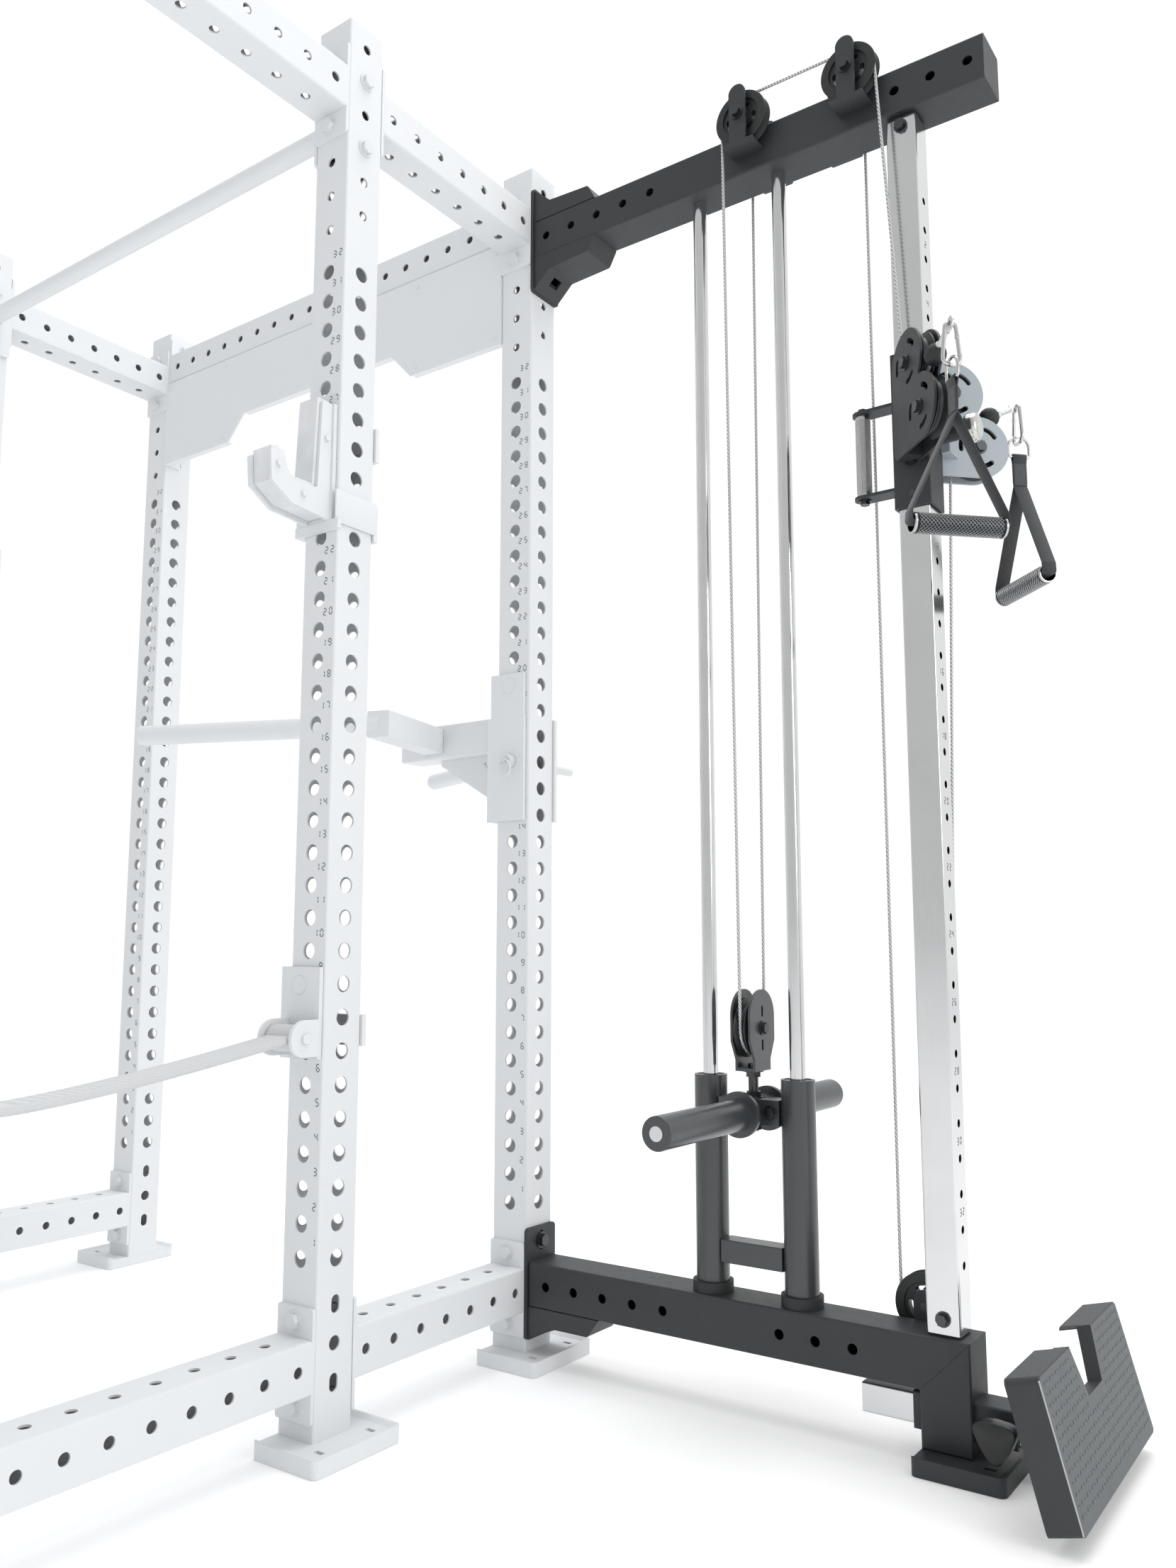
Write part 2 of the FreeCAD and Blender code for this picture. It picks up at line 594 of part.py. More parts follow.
def axle(x, y_side, z):
    """Pulley axle bolt: two spacer shoulders, a head outside the bracket and a nut at the beam."""
    bolt = rod((x, -80, z), Y, AXLE_R, 42.5)
    spacers = [rod((x, y, z), Y, 10, length) for y, length in ((-75.5, 8.3), (-46.8, 5.3))]
    whole = fuse([bolt, bolt_head((x, -80, z), Y * -1, 9)] + spacers)
    return whole if y_side < 0 else mirrored_y(whole)


def tower_bolts():
    """Pulley axles and the column's cross bolts."""
    bolts = [axle(x, -1, PULLEY_Z) for x in FRONT_PULLEY_X]
    bolts += [axle(x, 1, PULLEY_Z) for x in REAR_PULLEY_X]
    bolts.append(axle(LOW_PULLEY[0], 1, LOW_PULLEY[2]))
    half = COLUMN / 2
    bolts += [through_bolt((COLUMN_X, -half, z), Y, COLUMN, AXLE_R, 8.5) for z in CROSS_BOLT_Z]
    bolts += top_bracket()[1] + bottom_bracket()[1]
    return bolts


# ---- carriage ----
def carriage_frame():
    """Two sleeves joined by a crossbar and a bored block that takes the lifting stud."""
    pieces = []
    gap = (ROD_X[0] + SLEEVE_R - 2, ROD_X[1] - SLEEVE_R + 2)
    bar = soften(box(gap, (-18, 18), (223, 259)), 2, along(X))
    block = box(gap, (-20, 20), (444, 484))
    bores = [rod((x, 0, STOP_TOP - 1), Z, SLEEVE_R - 5, 400) for x in ROD_X]
    for x in ROD_X:
        pieces.append(rod((x, 0, STOP_TOP), Z, SLEEVE_R, SLEEVE_TOP - STOP_TOP))
    stud = rod((CARRIAGE_X, 0, 430), Z, 8.2, 80)
    return fuse(pieces + [bar, block]).cut(bores + [stud])


def bushings():
    """Plain bushing at each end of both sleeves, running on the guide rods."""
    rings = []
    for x in ROD_X:
        for z in (STOP_TOP + 1, SLEEVE_TOP - 42):
            ring = rod((x, 0, z), Z, SLEEVE_R - 5.05, 41)
            rings.append(ring.cut(rod((x, 0, z - 1), Z, ROD_R + RUNNING, 60)))
    return rings


def weight_horns():
    """Round horn with a collar on each side of the block."""
    horns = []
    for s in (-1, 1):
        horn = rod((CARRIAGE_X, 20, HORN_Z), Y, 25, HORN_REACH - 20)
        horn = soften(horn, 2, lambda e: abs(e.BoundBox.Center.y - HORN_REACH) < 0.1)
        collar = rod((CARRIAGE_X, 46, HORN_Z), Y, 36, 8)
        seat = rod((CARRIAGE_X, HORN_REACH - 6, HORN_Z), Y, 11, 10)
        piece = fuse([horn, collar]).cut(seat)
        horns.append(piece if s > 0 else mirrored_y(piece))
    return horns


def horn_caps():
    cap = rod((CARRIAGE_X, HORN_REACH - 6, HORN_Z), Y, 10.9, 7)
    return [cap, mirrored_y(cap)]


def carriage_block():
    """Two side plates and a floor that carry the carriage pulley."""
    plates = []
    z = CARRIAGE_PULLEY_Z
    neck = [(-27, 527), (27, 527), (27, 545), (42, 575), (42, 615), (-42, 615), (-42, 575), (-27, 545)]
    for x in (CARRIAGE_X - 18, CARRIAGE_X + 14):
        plate = fuse([prism(neck, "x", x, x + 4), rod((x, 0, 615), X, 42, 4)])
        slots = []
        for mid in (z - 27, z + 27):
            ends = [rod((x - 1, 0, mid + e), X, 3, 6) for e in (-6, 6)]
            slots.append(fuse(ends + [box((x - 1, x + 5), (-3, 3), (mid - 6, mid + 6))]))
        plates.append(plate.cut(slots + [rod((x - 1, 0, z), X, AXLE_R, 6)]))
    floor = box((CARRIAGE_X - 15, CARRIAGE_X + 15), (-27, 27), (527, 532))
    return fuse(plates + [floor.cut(rod((CARRIAGE_X, 0, 520), Z, 8.2, 20))])


def carriage_bolts():
    """Lifting stud with its nuts, and the carriage pulley's axle."""
    stud = rod((CARRIAGE_X, 0, 432), Z, 8, 106)
    nuts = [bolt_head((CARRIAGE_X, 0, z), Z * d, 13, 8) for z, d in ((444, -1), (484, 1), (527, -1))]
    z = CARRIAGE_PULLEY_Z
    pin = rod((CARRIAGE_X - 18, 0, z), X, AXLE_R, 36)
    heads = [bolt_head((CARRIAGE_X + s * 18, 0, z), X * s, 9, 6) for s in (-1, 1)]
    spacers = [rod((CARRIAGE_X + s * 12.1 - 1.9, 0, z), X, 9, 3.8) for s in (-1, 1)]
    side = bolt_head((516, -20, 464), Y * -1, 9, 7)
    return [fuse([stud] + nuts), fuse([pin] + heads + spacers), side]


# ---- trolley and pulley heads ----
def trolley_sleeve():
    """Square sleeve round the column with two flat arms for the grip and a barrel for the pin."""
    h = TROLLEY_HALF
    x0, x1 = COLUMN_X - h, COLUMN_X + h
    sleeve = square_tube((x0, x1), (-h, h), TROLLEY_Z, Z, 4.0, 3.0)
    arms = []
    for z in (1441, 1583):
        arms.append(fuse([box((GRIP_X, x0), (-16, 16), (z, z + 5)), rod((GRIP_X, 0, z), Z, 16, 5)]))
    barrel = rod((x1 - 1, 0, PIN_Z), X, 13, 40)
    bore = rod((x1 - 10, 0, PIN_Z), X, 5.05, 100)
    return fuse([sleeve, barrel] + arms).cut(bore)


def trolley_grip():
    grip = rod((GRIP_X, 0, 1446), Z, 12.5, 137)
    return soften(grip, 1.5, is_circle)


def trolley_bolts():
    """Bolts of the grip, the sleeve's side screws and the four head axles."""
    heads = [bolt_head((GRIP_X, 0, z), Z * s, 8, 5) for z, s in ((1441, -1), (1588, 1))]
    side = [bolt_head((COLUMN_X, -TROLLEY_HALF, SIDE_SCREW_Z), Y * -1, 11, 6),
            bolt_head((COLUMN_X + 1, -TROLLEY_HALF, 1425), Y * -1, 5, 2)]
    axles = []
    for x, z in ((0, 0), (HEAD_DU, -HEAD_DZ)):
        pin = rod((x, -18, z), Y, AXLE_R, 36)
        ends = [bolt_head((x, s * 18, z), Y * s, 9, 6) for s in (-1, 1)]
        spacers = [rod((x, s * 12.1 - 1.9, z), Y, 9, 3.8) for s in (-1, 1)]
        axles.append(fuse([pin] + ends + spacers))
    return heads + side + [in_head(a, s) for a in axles for s in (-1, 1)]


def pop_pin():
    """Spring pin along X with a domed pull knob."""
    x0 = COLUMN_X + COLUMN / 2
    shank = rod((x0 - 4, 0, PIN_Z), X, 5.0, 60)
    stem = rod((856, 0, PIN_Z), X, 8, 10)
    knob = soften(rod((862, 0, PIN_Z), X, 23, 24), 9, is_circle)
    return fuse([shank, stem, knob])


def in_head(shape, side):
    """Place a shape drawn in the head's own plane: X outward, Y across, origin on the upper axle."""
    placed = turned(shape, (0, 0, 0), Z, side * HEAD_ANGLE)
    return moved(placed, HEAD_X, side * HEAD_Y, HEAD_Z)


def head(side):
    """Two lobed side plates with curved slots, tied by spacers and a mounting web to the sleeve."""
    y0, y1 = HEAD_PLATE_Y
    centres = ((0, 0), (HEAD_DU, -HEAD_DZ))
    thick = y1 - y0
    lobes = [rod((x, y0, z), Y, HEAD_PLATE_R, thick) for x, z in centres]
    tail = soften(box((-HEAD_PLATE_R, HEAD_DU), (y0, y1), (-HEAD_DZ - HEAD_PLATE_R, 0)), 14,
                  lambda e: along(Y)(e) and e.BoundBox.Center.z < -100 and e.BoundBox.Center.x < 0)
    plate = fuse(lobes + [tail])
    cuts = [rod((x, 0, z), Y, AXLE_R, 60) for x, z in centres]
    for x, z in centres:
        for n in range(3):
            slot = turned(arc_slot(32, 8, 34, 35 + 120 * n, -30, -5), (0, 0, 0), X, 90)
            cuts.append(moved(slot, x, 0, z))
    plate = plate.cut(cuts)
    web = box((-HEAD_PLATE_R, -20), (-y0, y0), (-HEAD_DZ - HEAD_PLATE_R + 2, -HEAD_DZ - 24))
    inner = side * -1
    foot_block = box((-HEAD_PLATE_R + 2, 20), (inner * y1, inner * 60), (-112, -88))
    placed = in_head(fuse([plate, mirrored_y(plate), web]), side)
    h = TROLLEY_HALF
    sleeve = box((COLUMN_X - h, COLUMN_X + h), (-h, h), TROLLEY_Z)
    keep = box((COLUMN_X - h + 4, COLUMN_X + h + 14), (side * (h - 8), side * 120), TROLLEY_Z)
    block = in_head(foot_block, side).common(keep)
    screw = rod((COLUMN_X, side * h, SIDE_SCREW_Z), Y * side, 15, 10)
    return largest(fuse([placed, block]).cut([sleeve, screw]))


def head_pulley(side, upper):
    centre = (0, 0, 0) if upper else (HEAD_DU, 0, -HEAD_DZ)
    wheel = pulley(centre, Y)
    small = wheel.common(rod((centre[0], -20, centre[2]), Y, 46.5, 40))
    return in_head(small, side)


def exit_frame(side):
    """Tangent point and direction, in the head's plane, of the cable that leaves between its pulleys."""
    length = math.hypot(HEAD_DU, HEAD_DZ)
    down = (HEAD_DU / length, -HEAD_DZ / length)
    out = (-down[1], down[0])
    if side < 0:
        start = (ROUTE_R * down[0], ROUTE_R * down[1])
    else:
        start = (HEAD_DU - ROUTE_R * down[0], -HEAD_DZ - ROUTE_R * down[1])
    return start, out


def exit_point(side, run):
    (x, z), (dx, dz) = exit_frame(side)
    return x + dx * run, z + dz * run


def head_to_world(side, x, z):
    a = math.radians(side * HEAD_ANGLE)
    return V(HEAD_X + x * math.cos(a), side * HEAD_Y + x * math.sin(a), HEAD_Z + z)


def cable_stops():
    """Ball stop, ferrule and eye tab on each cable end."""
    stops = []
    for side in (-1, 1):
        dx, dz = exit_frame(side)[1]
        bx, bz = exit_point(side, BALL_RUN)
        ball = Part.makeSphere(BALL_R, V(bx, 0, bz))
        ferrule = Part.makeCylinder(5, EYE_RUN - BALL_RUN - 8, V(bx, 0, bz), V(dx, 0, dz))
        ex, ez = exit_point(side, EYE_RUN)
        eye = rod((ex, -9, ez), Y, 5, 18)
        tab = rod((ex, -2, ez), Y, 10, 4)
        stops.append(in_head(fuse([ball, ferrule, tab]).cut(eye), side))
    return stops


# ---- cable ----
def straight(a, b):
    a, b = V(*a), V(*b)
    return Part.makeCylinder(CABLE_R, (b - a).Length, a, b - a)


def bend(centre, start, degrees, axis=Y):
    """Quarter, half or other arc of cable round a pulley; start is the unit vector to its first end."""
    ring = Part.Face(Part.Wire(Part.makeCircle(CABLE_R, V(*centre) + start * ROUTE_R, axis.cross(start))))
    return ring.revolve(V(*centre), axis, degrees)


def cable_top():
    """The stretches over the upper pulleys and down the back to the low pulley."""
    top = PULLEY_Z + ROUTE_R
    (x0, x1), (r0, r1) = FRONT_PULLEY_X, REAR_PULLEY_X
    front = [bend((x0, -PULLEY_Y, PULLEY_Z), X * -1, 90),
             straight((x0, -PULLEY_Y, top), (x1, -PULLEY_Y, top)),
             bend((x1, -PULLEY_Y, PULLEY_Z), Z, 90)]
    low_x, low_y, low_z = LOW_PULLEY
    rear = [bend((r0, PULLEY_Y, PULLEY_Z), X * -1, 90), straight((r0, PULLEY_Y, top), (r1, PULLEY_Y, top)),
            bend((r1, PULLEY_Y, PULLEY_Z), Z, 90),
            straight((r1 + ROUTE_R, PULLEY_Y, PULLEY_Z), (low_x - ROUTE_R, low_y, low_z)),
            bend(LOW_PULLEY, X * -1, -180)]
    return [fuse(front), fuse(rear)]


def cable_lift():
    """The loop that carries the weight carriage, tangent to the carriage pulley on both sides."""
    x, z = CARRIAGE_X, CARRIAGE_PULLEY_Z
    rise = PULLEY_Z - z
    below = math.degrees(math.acos(ROUTE_R / math.hypot(rise, PULLEY_Y)) - math.atan2(rise, PULLEY_Y))
    strands = []
    for s in (-1, 1):
        touch = (x, s * ROUTE_R * math.cos(math.radians(below)), z - ROUTE_R * math.sin(math.radians(below)))
        strands.append(straight((x, s * PULLEY_Y, PULLEY_Z), touch))
    start = V(0, -math.cos(math.radians(below)), -math.sin(math.radians(below)))
    return fuse(strands + [bend((x, 0, z), start, 180 - 2 * below, X)])


def head_cable(side, start):
    """Strand into a head, round its working pulley and out between the two."""
    centre = (0, 0, 0) if side < 0 else (HEAD_DU, 0, -HEAD_DZ)
    lean = math.degrees(math.atan2(HEAD_DU, HEAD_DZ))
    wrap = bend(centre, X * -1, -(90 + lean) if side < 0 else 90 - lean)
    (ax, az), (bx, bz) = exit_point(side, 0), exit_point(side, BALL_RUN - BALL_R)
    tail = straight((ax, 0, az), (bx, 0, bz))
    entry = head_to_world(side, centre[0] - ROUTE_R, centre[2])
    knee = Part.makeSphere(CABLE_R + 0.25, entry)
    return fuse([straight(start, entry), knee, in_head(fuse([wrap, tail]), side)])


# ---- handles ----
def eye_point(side):
    return head_to_world(side, *exit_point(side, EYE_RUN))


def ring_link(length, width, wire, z_top):
    """Closed link in the XZ plane hanging down from z_top."""
    r = width / 2
    z0, z1 = z_top - r, z_top - length + r
    pieces = [Part.makeCylinder(wire, z0 - z1, V(x, 0, z1)) for x in (-r, r)]
    for z, span in ((z0, 180), (z1, -180)):
        face = Part.Face(Part.Wire(Part.makeCircle(wire, V(r, 0, z), Z)))
        pieces.append(face.revolve(V(0, 0, z), Y, -span))
    return fuse(pieces)


def d_ring():
    """Half ring over two arms and a straight bar, in the YZ plane."""
    r, z0, z1 = D_RING_HALF, D_RING_TOP - D_RING_HALF, D_RING_BAR_Z
    face = Part.Face(Part.Wire(Part.makeCircle(D_RING_WIRE, V(0, -r, z0), Z)))
    arms = [rod((0, y, z1), Z, D_RING_WIRE, z0 - z1) for y in (-r, r)]
    knuckles = [Part.makeSphere(D_RING_WIRE, V(0, y, z1)) for y in (-r, r)]
    bar = rod((0, -r, z1), Y, D_RING_WIRE, 2 * r)
    return fuse([face.revolve(V(0, 0, z0), X, -180), bar] + arms + knuckles)


def handle_strap():
    """Webbing loop: folded round the ring's bar, sewn down to the apex, then spread to the grip's ends."""
    t, half, low, apex = STRAP_THICK, GRIP_LENGTH / 2 + 3, -HANDLE_DROP, STRAP_APEX
    top = low + 13.2
    right = [(t, D_RING_BAR_Z), (t, apex), (half + 0.8, top), (half + t, low), (half + t, low - 4)]
    outer = right + [(-x, z) for x, z in reversed(right)]
    side = [(half - 2.4, top), (half - 1, low), (half - 1, low - 1.4)]
    inner = [(0, apex - 8)] + side + [(-x, z) for x, z in reversed(side)]
    web = STRAP_WIDTH / 2
    band = prism(outer, "y", -web, web).cut(prism(inner, "y", -web - 1, web + 1))
    fold = rod((0, -web, D_RING_BAR_Z), Y, D_RING_WIRE + t, 2 * web)
    return fuse([band, fold]).cut(rod((0, -web - 1, D_RING_BAR_Z), Y, D_RING_WIRE + RUNNING, 2 * web + 2))


def handle(side):
    """Snap link and D-ring, webbing loop and tube grip, hanging under the cable's eye."""
    axis_z = -HANDLE_DROP - 2.7
    grip = rod((-GRIP_LENGTH / 2, 0, axis_z), X, GRIP_R, GRIP_LENGTH)
    grip = grip.cut(rod((-GRIP_LENGTH, 0, axis_z), X, GRIP_BORE_R, 2 * GRIP_LENGTH))
    hook = [ring_link(64, 24, 3.2, 1.0), d_ring()]
    pieces = []
    for shapes in (hook, [handle_strap()], [grip]):
        placed = [turned(shape, (0, 0, 0), Z, side * HEAD_ANGLE + 90) for shape in shapes]
        pieces.append([moved(shape, *eye_point(side)) for shape in placed])
    return pieces


# ---- foot plate ----
def foot_plate():
    """Tilted tread plate with folded edges and a notch for the cable."""
    lip, t, h, w = PLATE_LIP, PLATE_THICK, PLATE_HEIGHT, PLATE_HALF
    pan = soften(box((-lip, 0), (-w, w), (-h, 0)), 8, along(X))
    pan = soften(pan, 2, lambda e: abs(e.BoundBox.XMax) < 0.01 and e.BoundBox.XLength < 0.01)
    pan = pan.cut(box((-lip - 1, -t), (-w + t, w - t), (-h + t, -t)))
    notch = prism([(-58, 1), (58, 1), (36, -67), (-36, -67)], "x", -lip - 1, 1)
    rim = prism([(-62, 0), (62, 0), (40, -71), (-40, -71)], "x", -20, 0)
    pan = pan.cut(prism([(-66, 1), (66, 1), (43, -8), (-43, -8)], "x", -lip - 1, -20.5))
    body = fuse([pan, rim]).cut(notch)
    body = body.cut([box((-lip - 1, -6), (s * w - 1.5, s * w + 1.5), (-3, 1)) for s in (-1, 1)])
    placed = turned(body, (0, 0, 0), Y, -PLATE_TILT)
    return moved(placed, PLATE_TOP[0], 0, PLATE_TOP[1])


def foot_tube():
    """Chromed slide tube with an end plate cut to the back of the foot plate."""
    half = TUBE / 2
    tube = square_tube((TUBE_REAR, 1010), (-half, half), (TUBE_Z - half, TUBE_Z + half), X, 3.0, 3.0)
    keep = box((-900, -PLATE_THICK), (-300, 300), (-400, 300))
    keep = moved(turned(keep, (0, 0, 0), Y, -PLATE_TILT), PLATE_TOP[0], 0, PLATE_TOP[1])
    return tube.common(keep)


def clamp_knob():
    """Screw through the receiver's wall with a fluted knob."""
    half = RECEIVER / 2
    screw = rod((KNOB_X, -half - 27, TUBE_Z), Y, 5.0, 27 + 4.6)
    boss = rod((KNOB_X, -half - 26, TUBE_Z), Y, 14, 14)
    body = soften(rod((KNOB_X, -half - 52, TUBE_Z), Y, 28, 27), 4, is_circle)
    flutes = [rod((KNOB_X + 31 * math.cos(a), -half - 60, TUBE_Z + 31 * math.sin(a)), Y, 6, 40)
              for a in [math.radians(60 * n + 30) for n in range(6)]]
    return fuse([screw, boss, body.cut(flutes)])


# ---- the nodes ----
def cage_nodes():
    base = post()
    tray = foot(-HALF, FOOT_REACH)
    nodes = {}
    trays = []
    for name, y in RIGHT_POSTS.items():
        right = moved(base, 0, y)
        nodes[name + "_posts"] = [right, mirrored_x(right)]
        trays += [moved(tray, 0, y), mirrored_x(moved(tray, 0, y))]
    nodes["rack_feet"] = trays
    nodes["top_rails"] = side_rails(TOP_RAIL_Z)
    nodes["top_rails"] += cross_rail(RIGHT_POSTS["rear"]) + cross_rail(RIGHT_POSTS["front"])
    nodes["bottom_rails"] = side_rails(BOTTOM_RAIL_Z)
    nodes["nameplate"] = [nameplate()]
    nodes["pull_up_bar"] = pull_up_bar()
    nodes["rack_bolts"] = rack_bolts()
    middle = RIGHT_POSTS["middle"]
    for name, shape in (("j_cups", j_cup()), ("j_cup_liners", j_cup_liner())):
        right = moved(shape, 0, middle)
        nodes[name] = [right, mirrored_x(right)]
    bracket = moved(safety_bracket(), 0, middle)
    pair = [bracket, mirrored_y(bracket, (middle + RIGHT_POSTS["front"]) / 2)]
    nodes["safety_brackets"] = pair + [mirrored_x(piece) for piece in pair]
    nodes["safety_straps"] = [safety_strap(), mirrored_x(safety_strap())]
    nodes["dip_bracket"] = [dip_bracket()]
    nodes["dip_bars"] = dip_bars()
    nodes["dip_pin"] = dip_pin()
    return nodes


def tower_nodes():
    low_x = LOW_PULLEY[0]
    height = TOP_BEAM_Z - HALF - LOW_BEAM_Z - HALF
    nodes = {
        "tower_top_beam": [top_beam()],
        "tower_bottom_beam": [low_beam()],
        "tower_brackets": [top_bracket()[0], bottom_bracket()[0]],
        "guide_rods": [rod((x, 0, LOW_BEAM_Z + HALF), Z, ROD_R, height) for x in ROD_X],
        "rod_stops": [rod((x, 0, LOW_BEAM_Z + HALF), Z, 33, STOP_TOP - LOW_BEAM_Z - HALF).cut(
            rod((x, 0, 100), Z, ROD_R + 0.1, 200)) for x in ROD_X],
        "column": [column()],
        "pulley_brackets": pulley_brackets(),
        "tower_bolts": tower_bolts(),
        "low_pulley": [pulley(LOW_PULLEY, Y)],
        "cable_top": cable_top(),
        "cable_lift": [cable_lift()],
        "cable_high": [head_cable(-1, (FRONT_PULLEY_X[1] + ROUTE_R, -PULLEY_Y, PULLEY_Z))],
        "cable_low": [head_cable(1, (low_x + ROUTE_R, PULLEY_Y, LOW_PULLEY[2]))],
    }
    for name, x in zip(("inner", "outer"), FRONT_PULLEY_X):
        nodes["front_pulley_" + name] = [pulley((x, -PULLEY_Y, PULLEY_Z), Y)]
    for name, x in zip(("inner", "outer"), REAR_PULLEY_X):
        nodes["rear_pulley_" + name] = [pulley((x, PULLEY_Y, PULLEY_Z), Y)]
    return nodes


def moving_nodes():
    nodes = {
        "carriage_frame": [carriage_frame()],
        "carriage_bushings": bushings(),
        "weight_horns": weight_horns(),
        "horn_caps": horn_caps(),
        "carriage_block": [carriage_block()],
        "carriage_bolts": carriage_bolts(),
        "carriage_pulley": [pulley((CARRIAGE_X, 0, CARRIAGE_PULLEY_Z), X)],
        "trolley_sleeve": [trolley_sleeve()],
        "trolley_grip": [trolley_grip()],
        "trolley_bolts": trolley_bolts(),
        "pop_pin": [pop_pin()],
        "cable_stops": cable_stops(),
        "foot_plate": [foot_plate()],
        "foot_tube": [foot_tube()],
        "clamp_knob": [clamp_knob()],
    }
    for name, side in (("front", -1), ("rear", 1)):
        nodes[name + "_head"] = [head(side)]
        nodes[name + "_head_pulley_upper"] = [head_pulley(side, True)]
        nodes[name + "_head_pulley_lower"] = [head_pulley(side, False)]
        hook, strap, grip = handle(side)
        nodes[name + "_handle_hook"] = hook
        nodes[name + "_handle_strap"] = strap
        nodes[name + "_handle_grip"] = grip
    return nodes


def main():
    os.makedirs("parts", exist_ok=True)
    nodes = {**cage_nodes(), **tower_nodes(), **moving_nodes()}
    for name, shapes in nodes.items():
        shape = group(shapes)
        shape.exportStep("parts/" + name + ".step")
        print(name, len(shape.Solids), "solids", shape.isValid(), round(shape.Volume / 1000, 1), "cm3")
    print(len(nodes), "nodes")


main()
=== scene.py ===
import json
import math
import bmesh
import bpy
from mathutils import Matrix, Vector


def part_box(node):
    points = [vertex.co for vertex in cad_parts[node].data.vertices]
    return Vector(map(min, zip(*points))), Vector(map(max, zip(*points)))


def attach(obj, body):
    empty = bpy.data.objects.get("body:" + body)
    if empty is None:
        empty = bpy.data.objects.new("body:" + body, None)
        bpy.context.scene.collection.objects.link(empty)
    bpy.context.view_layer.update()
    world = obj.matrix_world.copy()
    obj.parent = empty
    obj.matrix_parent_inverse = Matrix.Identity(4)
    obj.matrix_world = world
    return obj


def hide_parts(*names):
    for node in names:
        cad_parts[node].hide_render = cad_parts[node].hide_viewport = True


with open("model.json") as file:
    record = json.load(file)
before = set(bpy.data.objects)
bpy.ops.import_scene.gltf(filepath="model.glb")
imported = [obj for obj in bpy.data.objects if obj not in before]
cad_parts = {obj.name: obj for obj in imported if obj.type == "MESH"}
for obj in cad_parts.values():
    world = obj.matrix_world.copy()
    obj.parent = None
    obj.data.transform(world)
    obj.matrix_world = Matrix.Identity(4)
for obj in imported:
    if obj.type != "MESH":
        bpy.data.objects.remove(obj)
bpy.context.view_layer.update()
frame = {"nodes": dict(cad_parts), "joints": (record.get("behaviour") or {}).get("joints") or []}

# Power cage with a plate-loaded cable column: finishes, numbers, webbing, knurled grips, snap links.
# Metres. The frame's origin is on the floor under the right rear post, +X to the column, -Y to the front.

X, Y, Z = Vector((1, 0, 0)), Vector((0, 1, 0)), Vector((0, 0, 1))
MM = 0.001

# ---- sizes that the frame's boxes don't give ----
HOLE_PITCH = 0.050
HOLE_COUNT = 32
FIRST_HOLE_Z = 0.270
DIGIT_HEIGHT = 0.0105
COLUMN_LABEL_TOP = 1.845
COLUMN_LABEL_PITCH = 0.100
COLUMN_LABEL_COUNT = 16
COLUMN_DIGIT_HEIGHT = 0.0095
HEAD_ANGLE = 45.0  # degrees that each pulley head turns out from the column
PLATE_TILT = 14.9  # degrees that the foot plate's face leans back
PLATE_TOP = (0.967, 0, 0.202)
PLATE_DEPTH = 0.181
WEB_THICK = 0.0024
WEB_WIDTH = 0.0240
# drops below a handle's cable eye
RING_BAR = -0.086
STRAP_APEX = -0.138
GRIP_AXIS = -0.3027

# ---- camera, matched to the photograph ----
CAMERA_PLACE = (1.4346, -1.8194, 0.7297)
CAMERA_RISE = 7.44
CAMERA_TURN = 35.30
CAMERA_SENSOR = 36.0
CAMERA_LENS = 28.19

JOINTS = {joint["name"]: joint for joint in frame["joints"]}


